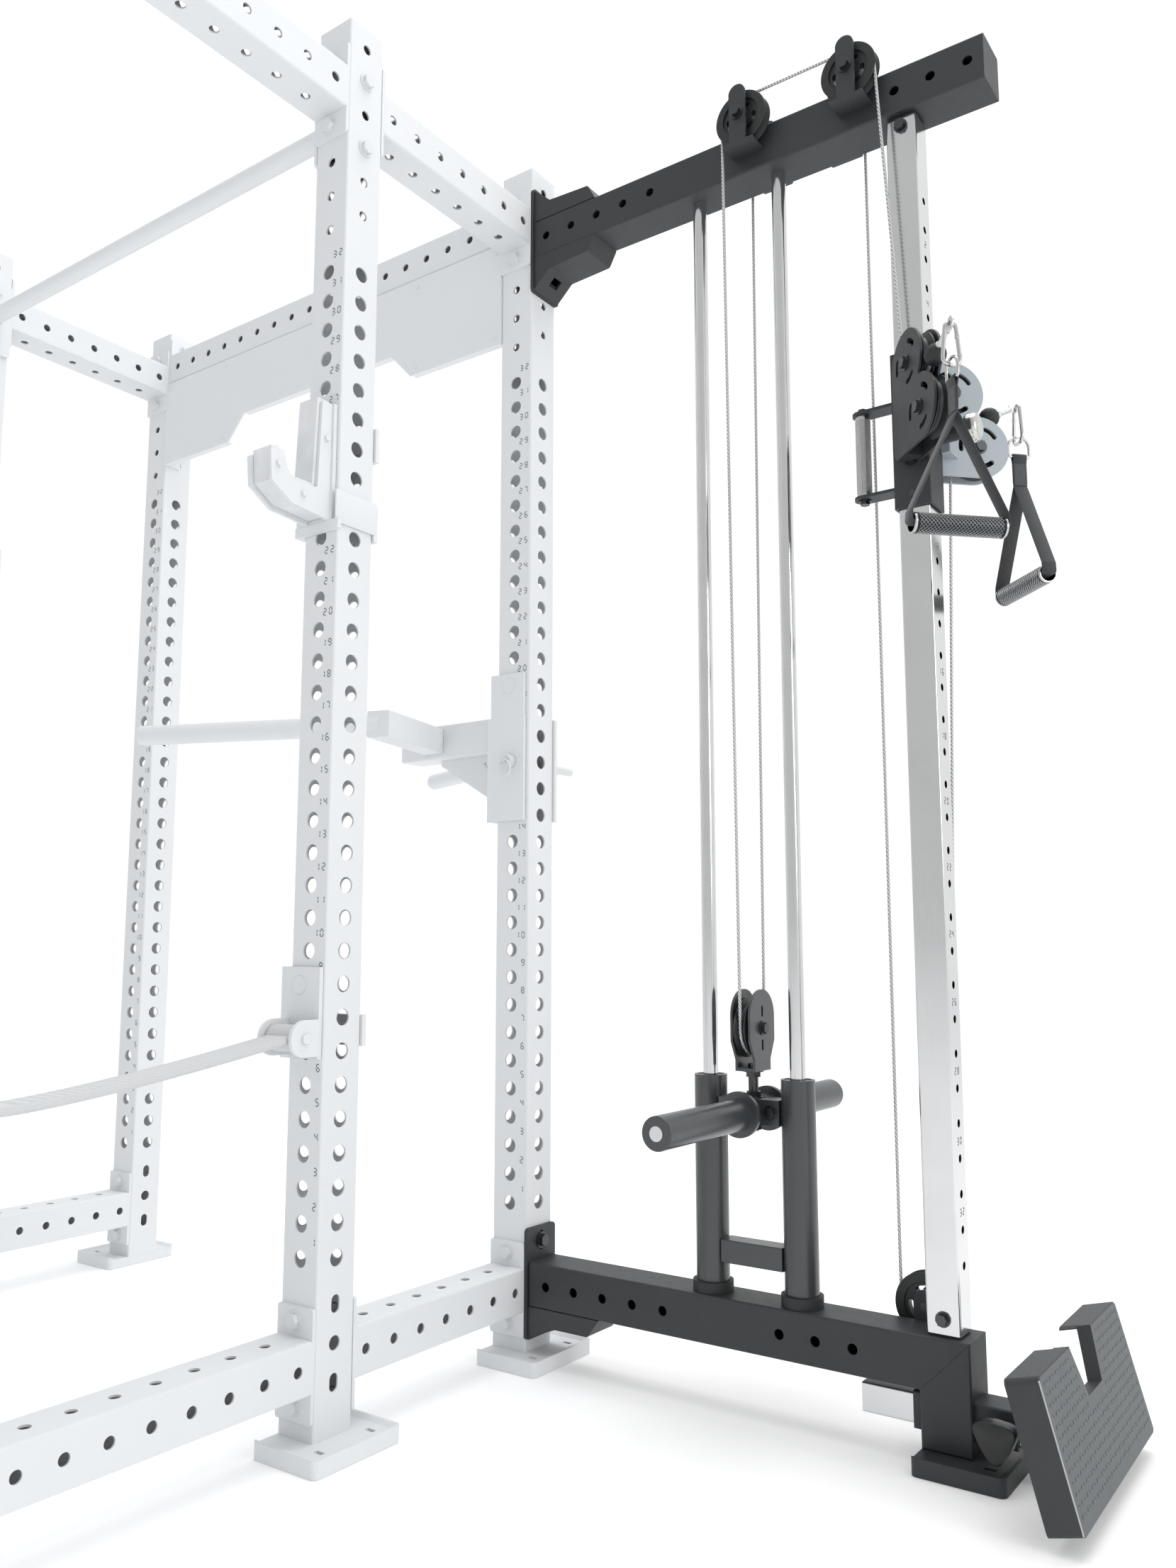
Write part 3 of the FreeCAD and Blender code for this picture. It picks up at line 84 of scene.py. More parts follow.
# ---- materials ----
class Tree:
    """A material's node tree, with one short call for each node that the scene uses."""

    def __init__(self, name):
        self.material = bpy.data.materials.new(name)
        self.material.use_nodes = True
        self.nodes = self.material.node_tree.nodes
        self.links = self.material.node_tree.links
        self.shader = self.nodes["Principled BSDF"]
        self.place = self.nodes.new("ShaderNodeTexCoord").outputs["Object"]

    def socket(self, name, value):
        self.shader.inputs[name].default_value = value

    def link(self, source, name):
        self.links.new(source, self.shader.inputs[name])

    def noise(self, scale, detail=3.0, place=None):
        node = self.nodes.new("ShaderNodeTexNoise")
        node.inputs["Scale"].default_value = scale
        node.inputs["Detail"].default_value = detail
        self.links.new(place or self.place, node.inputs["Vector"])
        return node.outputs["Fac"]

    def stretched(self, scale, turn=(0, 0, 0)):
        node = self.nodes.new("ShaderNodeMapping")
        node.inputs["Scale"].default_value = scale
        node.inputs["Rotation"].default_value = [math.radians(a) for a in turn]
        self.links.new(self.place, node.inputs["Vector"])
        return node.outputs["Vector"]

    def wave(self, scale, place=None, direction="X", distortion=0.0):
        node = self.nodes.new("ShaderNodeTexWave")
        node.bands_direction = direction
        node.inputs["Scale"].default_value = scale
        node.inputs["Distortion"].default_value = distortion
        self.links.new(place or self.place, node.inputs["Vector"])
        return node.outputs["Fac"]

    def span(self, value, low, high, start=0.0, end=1.0):
        """value moved from the range start..end to the range low..high."""
        node = self.nodes.new("ShaderNodeMapRange")
        for name, number in (("From Min", start), ("From Max", end), ("To Min", low), ("To Max", high)):
            node.inputs[name].default_value = number
        self.links.new(value, node.inputs["Value"])
        return node.outputs["Result"]

    def maths(self, operation, a, b):
        node = self.nodes.new("ShaderNodeMath")
        node.operation = operation
        for index, item in enumerate((a, b)):
            if isinstance(item, (int, float)):
                node.inputs[index].default_value = item
            else:
                self.links.new(item, node.inputs[index])
        return node.outputs["Value"]

    def blend(self, factor, dark, light):
        node = self.nodes.new("ShaderNodeMix")
        node.data_type = "RGBA"
        self.links.new(factor, node.inputs["Factor"])
        for name, colour in (("A", dark), ("B", light)):
            socket = next(s for s in node.inputs if s.name == name and s.type == "RGBA")
            socket.default_value = (*colour, 1)
        return next(s for s in node.outputs if s.type == "RGBA")

    def bump(self, height, strength, distance, rounding=0.0):
        node = self.nodes.new("ShaderNodeBump")
        node.inputs["Strength"].default_value = strength
        node.inputs["Distance"].default_value = distance
        self.links.new(height, node.inputs["Height"])
        if rounding:
            bevel = self.nodes.new("ShaderNodeBevel")
            bevel.samples = 4
            bevel.inputs["Radius"].default_value = rounding
            self.links.new(bevel.outputs["Normal"], node.inputs["Normal"])
        self.link(node.outputs["Normal"], "Normal")


def scaled(colour, factor):
    return tuple(min(1.0, c * factor) for c in colour)


def powder_coat(name, colour, roughness, grain=0.35, spread=0.04, rounding=0.9 * MM, shine=0.5):
    """Sprayed coat: slight orange peel, cloudy colour, edges that catch the light."""
    tree = Tree(name)
    tree.socket("Specular IOR Level", shine)
    cloud = tree.noise(9, 2)
    tree.link(tree.blend(cloud, scaled(colour, 1 - spread), scaled(colour, 1 + spread)), "Base Color")
    tree.link(tree.span(tree.noise(60, 3), roughness - 0.05, roughness + 0.07), "Roughness")
    tree.bump(tree.noise(700, 2), grain, 0.06 * MM, rounding)
    return tree.material


def plated(name, colour, roughness, scratch=(1, 1, 0.02), rounding=0.5 * MM):
    """Bright plated metal with faint lengthwise drawing marks and cloudy gloss."""
    tree = Tree(name)
    tree.socket("Metallic", 1.0)
    marks = tree.noise(900, 2, tree.stretched(scratch))
    tree.link(tree.blend(tree.noise(14, 2), scaled(colour, 0.94), scaled(colour, 1.05)), "Base Color")
    tree.link(tree.span(marks, roughness * 0.6, roughness * 1.5), "Roughness")
    tree.bump(marks, 0.08, 0.02 * MM, rounding)
    return tree.material


def moulded(name, colour, roughness, rounding=0.6 * MM):
    """Moulded plastic or rubber with a fine spark-eroded grain."""
    tree = Tree(name)
    tree.link(tree.blend(tree.noise(30, 2), scaled(colour, 0.85), scaled(colour, 1.15)), "Base Color")
    tree.link(tree.span(tree.noise(120, 2), roughness - 0.06, roughness + 0.06), "Roughness")
    tree.bump(tree.noise(1500, 1), 0.3, 0.05 * MM, rounding)
    return tree.material


def woven(name, colour, roughness=0.85, turn=0.0, lighter=1.35):
    """Webbing: warp and weft ribs about a millimetre apart, and a soft sheen."""
    tree = Tree(name)
    tree.socket("Sheen Weight", 0.25)
    tree.socket("Sheen Roughness", 0.5)
    place = tree.stretched((1, 1, 1), (0, 0, turn))
    weft = tree.wave(250, place, "Z")
    warp = tree.maths("MAXIMUM", tree.wave(210, place, "X"), tree.wave(210, place, "Y"))
    weave = tree.maths("MULTIPLY", weft, warp)
    fibres = tree.noise(2600, 2)
    tone = tree.maths("ADD", tree.maths("MULTIPLY", weave, 0.7), tree.maths("MULTIPLY", fibres, 0.3))
    tree.link(tree.blend(tone, scaled(colour, 0.72), scaled(colour, lighter)), "Base Color")
    tree.link(tree.span(fibres, roughness - 0.1, roughness + 0.1), "Roughness")
    tree.bump(tone, 0.6, 0.25 * MM)
    return tree.material


def wire_rope(name, colour):
    """Twisted strands under a clear nylon coat: slanting light and dark stripes."""
    tree = Tree(name)
    tree.socket("Metallic", 0.35)
    tree.socket("Coat Weight", 0.5)
    tree.socket("Coat Roughness", 0.25)
    lay = tree.wave(95, tree.stretched((1.2, 1.2, 1.0)), "DIAGONAL")
    tree.link(tree.blend(lay, scaled(colour, 0.42), scaled(colour, 1.2)), "Base Color")
    tree.link(tree.span(lay, 0.35, 0.5), "Roughness")
    tree.bump(lay, 0.6, 0.3 * MM)
    return tree.material


def tread_coat(name, colour, edges):
    """Dark coat on chequered plate: the tilted tread face is lighter, in streaks, than the folds."""
    tree = Tree(name)
    streaks = tree.noise(420, 3, tree.stretched((1, 1, 0.09)))
    cloud = tree.noise(26, 4)
    tone = tree.maths("ADD", tree.maths("MULTIPLY", streaks, 0.6), tree.maths("MULTIPLY", cloud, 0.4))
    facing = tree.nodes.new("ShaderNodeVectorMath")
    facing.operation = "DOT_PRODUCT"
    tilt = math.radians(PLATE_TILT)
    facing.inputs[1].default_value = (math.cos(tilt), 0, math.sin(tilt))
    tree.links.new(tree.nodes["Texture Coordinate"].outputs["Normal"], facing.inputs[0])
    # faces that look along the tread's tilt take the lighter, streaked colour; the folds keep the dark one
    tread = tree.span(facing.outputs["Value"], 0, 1, 0.9, 0.97)
    lighter_tread = tree.maths("MULTIPLY", tree.span(tone, 0.3, 1.0), tread)
    tree.link(tree.blend(lighter_tread, edges, scaled(colour, 1.6)), "Base Color")
    tree.link(tree.span(streaks, 0.42, 0.62), "Roughness")
    tree.bump(streaks, 0.35, 0.08 * MM, 1.0 * MM)
    return tree.material


WHITE = (0.72, 0.738, 0.752)
DARK = (0.0245, 0.0280, 0.0305)
FINISH = {
    "white": powder_coat("white_powder_coat", WHITE, 0.55, 0.08, 0.015, 0.9 * MM, 0.15),
    "white_hardware": powder_coat("white_bolt_paint", scaled(WHITE, 0.95), 0.42, 0.08, 0.03, 0.4 * MM, 0.3),
    "white_plastic": moulded("white_nylon", scaled(WHITE, 0.98), 0.5),
    "white_web": woven("white_webbing", scaled(WHITE, 0.92), 0.85, 0.0, 1.05),
    "white_thread": moulded("white_thread", scaled(WHITE, 0.8), 0.7, 0.1 * MM),
    "dark": powder_coat("black_powder_coat", DARK, 0.5, 0.5, 0.12),
    "satin_dark": powder_coat("satin_black_coat", scaled(DARK, 1.3), 0.3, 0.25, 0.1, 0.9 * MM, 0.8),
    # the pulley heads' dark coat, painted grey: painted light from the right-hand lamp on the rear head's
    # outer face
    "painted_lit_dark": powder_coat("dark_coat_painted_lit", (0.36, 0.405, 0.435), 0.42, 0.3, 0.04),
    "tread": tread_coat("streaked_tread_coat", (0.066, 0.074, 0.078), scaled(DARK, 1.15)),
    "dark_hardware": plated("black_zinc", (0.085, 0.088, 0.092), 0.34, (1, 1, 1), 0.4 * MM),
    "chrome": plated("polished_chrome", (0.66, 0.665, 0.67), 0.14),
    "satin_chrome": plated("satin_chrome", (0.50, 0.50, 0.505), 0.24),
    "nickel": plated("nickel", (0.55, 0.55, 0.54), 0.18, (1, 1, 1), 0.2 * MM),
    "zinc": plated("bright_zinc", (0.66, 0.67, 0.69), 0.33, (1, 1, 1), 0.3 * MM),
    "bronze": plated("sintered_bronze", (0.06, 0.048, 0.036), 0.4, (1, 1, 1), 0.3 * MM),
    "pulley": moulded("black_nylon", (0.014, 0.0155, 0.0165), 0.42),
    "rubber": moulded("black_rubber", (0.018, 0.0195, 0.0205), 0.62),
    "knob": moulded("knob_plastic", (0.012, 0.013, 0.014), 0.36, 1.2 * MM),
    "web": woven("black_webbing", (0.030, 0.033, 0.036), 0.8, 45.0),
    "thread": moulded("black_thread", (0.05, 0.055, 0.06), 0.7, 0.1 * MM),
    "sewn_web": woven("sewn_webbing", (0.062, 0.072, 0.080), 0.75, 45.0),
    "rope": wire_rope("coated_wire_rope", (0.62, 0.63, 0.63)),
    "tread_mark": powder_coat("tread_mark", (0.046, 0.051, 0.054), 0.45, 0.3, 0.2, 0.0),
    # painted highlight for the foot plate's folds: a bright metal colour on thin strips along each fold
    "highlight_on_folds": plated("fold_edge_painted_highlight", (0.42, 0.44, 0.45), 0.38, (1, 1, 1), 0.0),
    "grip_dark": plated("grip_black_nickel", (0.028, 0.029, 0.030), 0.36, (1, 1, 1), 0.2 * MM),
    # knurl ridges in a lighter metal than the dark grip tube: painted highlight on the ridges
    "knurl": plated("knurl_painted_highlight", (0.42, 0.425, 0.43), 0.3, (1, 1, 1), 0.0),
    "ink": moulded("stencil_ink", (0.13, 0.14, 0.15), 0.6, 0.0),
    "dark_ink": moulded("column_ink", (0.05, 0.052, 0.055), 0.6, 0.0),
}
NODE_FINISH = {
    "white": ("rear_posts", "middle_posts", "front_posts", "rack_feet", "top_rails", "bottom_rails",
              "nameplate", "pull_up_bar", "j_cups", "safety_brackets", "dip_bracket", "dip_bars"),
    "white_hardware": ("rack_bolts", "dip_pin"),
    "white_plastic": ("j_cup_liners",),
    "dark": ("tower_top_beam", "tower_bottom_beam", "tower_brackets", "pulley_brackets",
             "trolley_sleeve", "front_head"),
    "satin_dark": ("carriage_frame", "weight_horns", "carriage_block"),
    # rear head: a lit grey copy of the dark coat, which is painted light
    "painted_lit_dark": ("rear_head",),
    "tread": ("foot_plate",),
    "dark_hardware": ("tower_bolts", "carriage_bolts", "trolley_bolts"),
    "chrome": ("column", "guide_rods", "foot_tube"),
    "nickel": ("pop_pin",),
    "zinc": ("horn_caps",),
    "bronze": ("carriage_bushings",),
    "pulley": ("low_pulley", "front_pulley_inner", "front_pulley_outer", "rear_pulley_inner",
               "rear_pulley_outer", "carriage_pulley", "front_head_pulley_upper",
               "front_head_pulley_lower", "rear_head_pulley_upper", "rear_head_pulley_lower"),
    "rubber": ("rod_stops",),
    "knob": ("clamp_knob",),
    "rope": ("cable_top", "cable_lift", "cable_high", "cable_low"),
}


def paint_frame():
    for finish, nodes in NODE_FINISH.items():
        for node in nodes:
            for slot in frame["nodes"][node].material_slots:
                slot.material = FINISH[finish]


# ---- mesh helpers ----
def piece(name, mesh, finish, body, smooth=True):
    """A new piece from a finished bmesh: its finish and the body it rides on."""
    data = bpy.data.meshes.new(name)
    bmesh.ops.recalc_face_normals(mesh, faces=mesh.faces)
    mesh.to_mesh(data)
    mesh.free()
    data.materials.append(FINISH[finish])
    obj = bpy.data.objects.new(name, data)
    bpy.context.collection.objects.link(obj)
    if smooth:
        data.shade_smooth()
        data.set_sharp_from_angle(angle=math.radians(38))
    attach(obj, body)
    return obj


def rounded(points, radius, steps=6):
    """A closed path of 3-D points with each corner turned into an arc of about that radius."""
    path = []
    count = len(points)
    for i, corner in enumerate(points):
        back = points[i - 1] - corner
        ahead = points[(i + 1) % count] - corner
        half = back.angle(ahead) / 2
        cut = min(radius / math.tan(half), back.length * 0.49, ahead.length * 0.49)
        start, end = corner + back.normalized() * cut, corner + ahead.normalized() * cut
        for k in range(steps + 1):
            t = k / steps
            path.append(start.lerp(corner, t).lerp(corner.lerp(end, t), t))
    return path


def swept(mesh, path, section, across, closed, place):
    """Adds a section, given as (across, normal) pairs, carried along a path."""
    rings = []
    count = len(path)
    for i, point in enumerate(path):
        if closed:
            tangent = path[(i + 1) % count] - path[i - 1]
        else:
            tangent = path[min(i + 1, count - 1)] - path[max(i - 1, 0)]
        tangent.normalize()
        normal = tangent.cross(across).normalized()
        side = normal.cross(tangent)
        rings.append([mesh.verts.new(place @ (point + side * u + normal * v)) for u, v in section])
    for i in range(count if closed else count - 1):
        a, b = rings[i], rings[(i + 1) % count]
        for k in range(len(section)):
            j = (k + 1) % len(section)
            mesh.faces.new((a[k], a[j], b[j], b[k]))
    if not closed:
        mesh.faces.new(rings[0])
        mesh.faces.new(rings[-1])


def circle(radius, sides=14):
    angles = [2 * math.pi * k / sides for k in range(sides)]
    return [(radius * math.cos(a), radius * math.sin(a)) for a in angles]


def band(width, thickness):
    """Webbing's cross section: flat faces and rounded selvedges."""
    w, t = width / 2, thickness / 2
    flat, shoulder = w - t * 0.8, w - t * 0.2
    selvedge = [(flat, t), (shoulder, t * 0.65), (w, 0), (shoulder, -t * 0.65), (flat, -t)]
    return selvedge + [(-u, -v) for u, v in selvedge]


def lathe(mesh, profile, place, sides=40, closed=False):
    """Adds a turned shape from (radius, height) pairs about the Z axis of place."""
    rings = []
    for radius, height in profile:
        if radius < 1e-6:
            rings.append([mesh.verts.new(place @ Vector((0, 0, height)))])
            continue
        rings.append([mesh.verts.new(place @ Vector((x, y, height))) for x, y in circle(radius, sides)])
    pairs = list(zip(rings, rings[1:])) + ([(rings[-1], rings[0])] if closed else [])
    for a, b in pairs:
        for k in range(sides):
            j = (k + 1) % sides
            corners = [a[k % len(a)], a[j % len(a)], b[j % len(b)], b[k % len(b)]]
            mesh.faces.new(list(dict.fromkeys(corners)))


def bar_stitch(mesh, point, run, up, length, radius):
    """One raised thread: a low pointed lozenge, square across, lying along run."""
    side = up.cross(run)
    ends = [point - run * length / 2, point + run * length / 2]
    waist = [point + side * radius, point + up * radius, point - side * radius, point - up * radius]
    tips = [mesh.verts.new(end) for end in ends]
    ring = [mesh.verts.new(corner) for corner in waist]
    for tip in tips:
        for k in range(4):
            mesh.faces.new((tip, ring[k], ring[(k + 1) % 4]))


def axis_place(origin, direction):
    """Matrix that puts the Z axis of a turned shape on a line."""
    return Matrix.Translation(origin) @ direction.to_track_quat("Z", "Y").to_matrix().to_4x4()


# ---- numbers ----
SEGMENTS = {
    "top": ((-0.5, 1), (0.5, 1)), "mid": ((-0.5, 0), (0.5, 0)), "low": ((-0.5, -1), (0.5, -1)),
    "tl": ((-0.5, 1), (-0.5, 0)), "tr": ((0.5, 1), (0.5, 0)), "bl": ((-0.5, 0), (-0.5, -1)),
    "br": ((0.5, 0), (0.5, -1)),
}
DIGITS = {
    "0": "top low tl tr bl br", "1": "tr br", "2": "top tr mid bl low", "3": "top tr mid br low",
    "4": "tl mid tr br", "5": "top tl mid br low", "6": "top tl mid bl br low", "7": "top tr br",
    "8": "top mid low tl tr bl br", "9": "top mid low tl tr br",
}


def stencil(mesh, text, centre, right, up, height):
    """Adds a number as short raised strokes, broken at the corners as a stencil is."""
    out = right.cross(up)
    half = height / 2
    stroke, relief, gap = height * 0.085, 0.12 * MM, 0.15
    spacing, wide = height * 1.25, half * 1.15
    for index, digit in enumerate(text):
        middle = centre + right * spacing * (index - (len(text) - 1) / 2)
        for key in DIGITS[digit].split():
            (x0, z0), (x1, z1) = SEGMENTS[key]
            a = middle + right * x0 * wide + up * z0 * half
            b = middle + right * x1 * wide + up * z1 * half
            run = b - a
            a, b = a + run * gap, b - run * gap
            side = run.normalized().cross(out) * stroke
            flat = [a + side, b + side, b - side, a - side]
            lower = [mesh.verts.new(p - out * relief) for p in flat]
            upper = [mesh.verts.new(p + out * relief) for p in flat]
            mesh.faces.new(upper)
            mesh.faces.new(lower[::-1])
            for k in range(4):
                j = (k + 1) % 4
                mesh.faces.new((lower[k], lower[j], upper[j], upper[k]))


def post_numbers(node):
    """Hole numbers on the front face of both posts of a pair, up and right of each hole."""
    low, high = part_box(node)
    half = (high.y - low.y) / 2
    one_digit, two_digits, above = 27 * MM, 20.5 * MM, 27 * MM
    mesh = bmesh.new()
    for x in (high.x - half, low.x + half):
        for n in range(1, HOLE_COUNT + 1):
            hole_z = FIRST_HOLE_Z + HOLE_PITCH * (n - 1)
            spot = Vector((x + (two_digits if n > 9 else one_digit), low.y, hole_z + above))
            stencil(mesh, str(n), spot, X, Z, DIGIT_HEIGHT)
    piece(node.replace("posts", "hole_numbers"), mesh, "ink", "rack", smooth=False)


def column_numbers():
    """Even numbers down the column's outer face, beside its holes."""
    low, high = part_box("column")
    mesh = bmesh.new()
    for n in range(COLUMN_LABEL_COUNT):
        spot = Vector((high.x, (low.y + high.y) / 2, COLUMN_LABEL_TOP - COLUMN_LABEL_PITCH * n))
        stencil(mesh, str(2 * n + 2), spot, Y, Z, COLUMN_DIGIT_HEIGHT)
    piece("column_numbers", mesh, "dark_ink", "rack", smooth=False)


# ---- handles ----
def handle_place(side_name):
    """Matrix from a handle's own plane, with its grip along X, to the frame: origin at the cable's eye."""
    swing = JOINTS[side_name + "_handle_swing"]
    turn = HEAD_ANGLE if side_name == "rear" else -HEAD_ANGLE
    return Matrix.Translation(swing["pos_m"]) @ Matrix.Rotation(math.radians(turn + 90), 4, "Z")


def snap_link(side_name):
    """Pear-shaped snap link with its gate collars and hinge pin."""
    place = handle_place(side_name)
    corners = [Vector((x * MM, 0, z * MM)) for x, z in ((-8, 1), (8, 1), (14.5, -63), (-14.5, -63))]
    mesh = bmesh.new()
    swept(mesh, rounded(corners, 12 * MM, 10), circle(2.9 * MM), Y, True, place)
    run = Vector((6.5, 0, -64)).normalized()
    for x, z, radius, length in ((9.9, -19, 3.5, 5.0), (13.0, -49, 3.5, 6.0)):
        start = Vector((x * MM, 0, z * MM)) - run * length * MM / 2
        collar = [(0, 0), (radius - 0.5, 0), (radius, 0.5), (radius, length - 0.5),
                  (radius - 0.5, length), (0, length)]
        lathe(mesh, [(r * MM, h * MM) for r, h in collar], place @ axis_place(start, run), 20)
    pin = [(0, -3.9), (1.5, -3.9), (1.5, 3.9), (0, 3.9)]
    hinge = place @ axis_place(Vector((0.013, 0, -0.049)), Y)
    lathe(mesh, [(r * MM, h * MM) for r, h in pin], hinge, 16)
    link = piece(side_name + "_snap_link", mesh, "nickel", side_name + "_handle")
    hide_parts(side_name + "_handle_hook")


def d_ring(side_name):
    """Wire ring between the link and the strap: half circle over arms and a straight bar."""
    half, top, bar, corner = 18 * MM, -52 * MM, RING_BAR, 3.5 * MM
    arch = [math.pi * k / 16 for k in range(17)]
    path = [Vector((0, half * math.cos(a), top - half + half * math.sin(a))) for a in arch]
    for sign, start in ((-1, math.pi), (1, 1.5 * math.pi)):
        centre = Vector((0, sign * (half - corner), bar + corner))
        for k in range(6):
            a = start + math.pi / 2 * k / 5
            path.append(centre + Vector((0, math.cos(a), math.sin(a))) * corner)
    mesh = bmesh.new()
    swept(mesh, path, circle(2.3 * MM), X, True, handle_place(side_name))
    piece(side_name + "_d_ring", mesh, "nickel", side_name + "_handle")


def handle_strap(side_name):
    """One loop of webbing: over the D-ring's bar, sewn down to the apex, out to the grip and through it."""
    place = handle_place(side_name)
    body = side_name + "_handle"
    t, turn_radius = WEB_THICK / 2, 3.7 * MM
    reach, rim = 74.3 * MM, -286.0 * MM
    fold = [Vector((-turn_radius * math.cos(a), 0, RING_BAR + turn_radius * math.sin(a)))
            for a in [math.pi * k / 10 for k in range(11)]]
    half = [Vector((t, 0, STRAP_APEX)), Vector((reach - 1.6 * MM, 0, rim)),
            Vector((reach, 0, GRIP_AXIS))]
    legs = rounded(half + [Vector((-p.x, 0, p.z)) for p in reversed(half)], 6 * MM, 7)
    ease = [Vector((t * 1.02, 0, RING_BAR - 13 * MM)), Vector((t * 1.02, 0, STRAP_APEX + 9 * MM))]
    mirror = [Vector((-p.x, 0, p.z)) for p in reversed(ease)]
    mesh = bmesh.new()
    path = mirror + fold + ease + legs
    swept(mesh, path, band(WEB_WIDTH, WEB_THICK), Y, True, place)
    strap = piece(side_name + "_strap", mesh, "web", body)
    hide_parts(side_name + "_handle_strap")
    strap_sleeve(side_name, place, body)
    strap_stitches(side_name, place, body)


def strap_sleeve(side_name, place, body):
    """Flat sleeve of webbing round the sewn stretch."""
    thick, wide = 2.55 * MM, 11 * MM
    corners = [Vector((x, y, 0)) for x, y in ((-thick, -wide), (thick, -wide), (thick, wide), (-thick, wide))]
    section = [(p.y, p.x) for p in rounded(corners, 1.2 * MM, 4)]
    line = [Vector((0, 0, z * MM)) for z in (-97.5, -99, -104, -128, -133, -134.5)]
    mesh = bmesh.new()
    swept(mesh, line, section, Y, False, place)
    piece(side_name + "_strap_sleeve", mesh, "sewn_web", body)


def strap_stitches(side_name, place, body):
    """Two rows of box stitching with a cross on both faces of the sewn stretch."""
    turn = place.to_3x3()
    mesh = bmesh.new()
    top, bottom, edge, proud = -101 * MM, -131 * MM, 8.6 * MM, 2.6 * MM
    box = [(-edge, top), (edge, top), (edge, bottom), (-edge, bottom)]
    lines = list(zip(box, box[1:] + box[:1])) + [(box[0], box[2]), (box[1], box[3])]
    for face in (-1, 1):
        for (y0, z0), (y1, z1) in lines:
            a, b = Vector((face * proud, y0, z0)), Vector((face * proud, y1, z1))
            count = max(2, round((b - a).length / (3.0 * MM)))
            run = (turn @ (b - a)).normalized()
            for k in range(count):
                spot = place @ a.lerp(b, (k + 0.5) / count)
                bar_stitch(mesh, spot, run, turn @ (X * face), 2.2 * MM, 0.32 * MM)
    piece(side_name + "_strap_stitching", mesh, "thread", body)


def grip_tube(name, place, length, radius, bore, finish, body):
    """Turned grip with an open bore, plain end bands and a relieved middle for the knurl."""
    end = 6 * MM
    half = [(bore, 0.6 * MM), (bore + 0.5 * MM, 0.0), (radius - 0.6 * MM, 0.0), (radius, 0.6 * MM),
            (radius, end), (radius - 0.35 * MM, end + 0.4 * MM)]
    profile = half + [(r, length - h) for r, h in reversed(half)]
    mesh = bmesh.new()
    lathe(mesh, profile, place, 64, True)
    return piece(name, mesh, finish, body)


def knurl_net(name, place, length, radius, around, step, finish, body):
    """Raised diamond net of a knurled grip: two families of crossing ridges wound round it."""
    mesh = bmesh.new()
    end, height, half_width, sunk = 7 * MM, 0.55 * MM, 0.5 * MM, 0.1 * MM
    count = int((length - 2 * end) / (1.3 * MM))
    for family in (-1, 1):
        slope = family * 2 * math.pi * radius / around / step
        for start in range(around):
            rings = []
            for k in range(count + 1):
                h = end + (length - 2 * end) * k / count
                a = 2 * math.pi / around * (start + family * (h - end) / step)
                out = Vector((math.cos(a), math.sin(a), 0))
                across = out.cross(Vector((-out.y * slope, out.x * slope, 1))).normalized()
                crest = out * (radius - 0.35 * MM) + Vector((0, 0, h))
                foot = crest - out * sunk
                corners = (foot + across * half_width, crest + out * height, foot - across * half_width)
                rings.append([mesh.verts.new(place @ corner) for corner in corners])
            for low, high in zip(rings, rings[1:]):
                for k in range(3):
                    mesh.faces.new((low[k], low[(k + 1) % 3], high[(k + 1) % 3], high[k]))
            mesh.faces.new(rings[0])
            mesh.faces.new(rings[-1])
    piece(name, mesh, finish, body, smooth=False)


def handle_grip(side_name):
    """One handle's grip: tube, knurl and the bright rims at its ends."""
    place = handle_place(side_name)
    length, radius, bore, body = 140 * MM, 14.9 * MM, 12.7 * MM, side_name + "_grip"
    start = place @ Vector((-length / 2, 0, GRIP_AXIS))
    line = axis_place(start, place.to_3x3() @ X)
    tube = grip_tube(body + "_tube", line, length, radius, bore, "grip_dark", body)
    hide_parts(side_name + "_handle_grip")
    # the net's lighter metal is painted highlight on the knurl's ridges
    knurl_net(body + "_knurl", line, length, radius, 15, 5.6 * MM, "knurl", body)
    mesh = bmesh.new()
    rim = [(12.8, 0.1), (12.8, -0.25), (14.2, -0.25), (15.1, 0.6), (15.1, 3.2), (14.8, 3.5)]
    for end, sign in ((0.0, 1), (length, -1)):
        lathe(mesh, [(r * MM, end + sign * h * MM) for r, h in rim], line, 48, True)
    piece(body + "_rims", mesh, "satin_chrome", body)


def trolley_grip():
    """Upright knurled grip between the trolley's two arms."""
    low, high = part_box("trolley_grip")
    line = Matrix.Translation(((low.x + high.x) / 2, (low.y + high.y) / 2, low.z))
    length, radius, bore = high.z - low.z, 12.0 * MM, 9.5 * MM
    tube = grip_tube("trolley_grip_tube", line, length, radius, bore, "satin_chrome", "trolley")
    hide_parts("trolley_grip")
    knurl_net("trolley_grip_knurl", line, length, radius, 20, 3.6 * MM, "satin_chrome", "trolley")


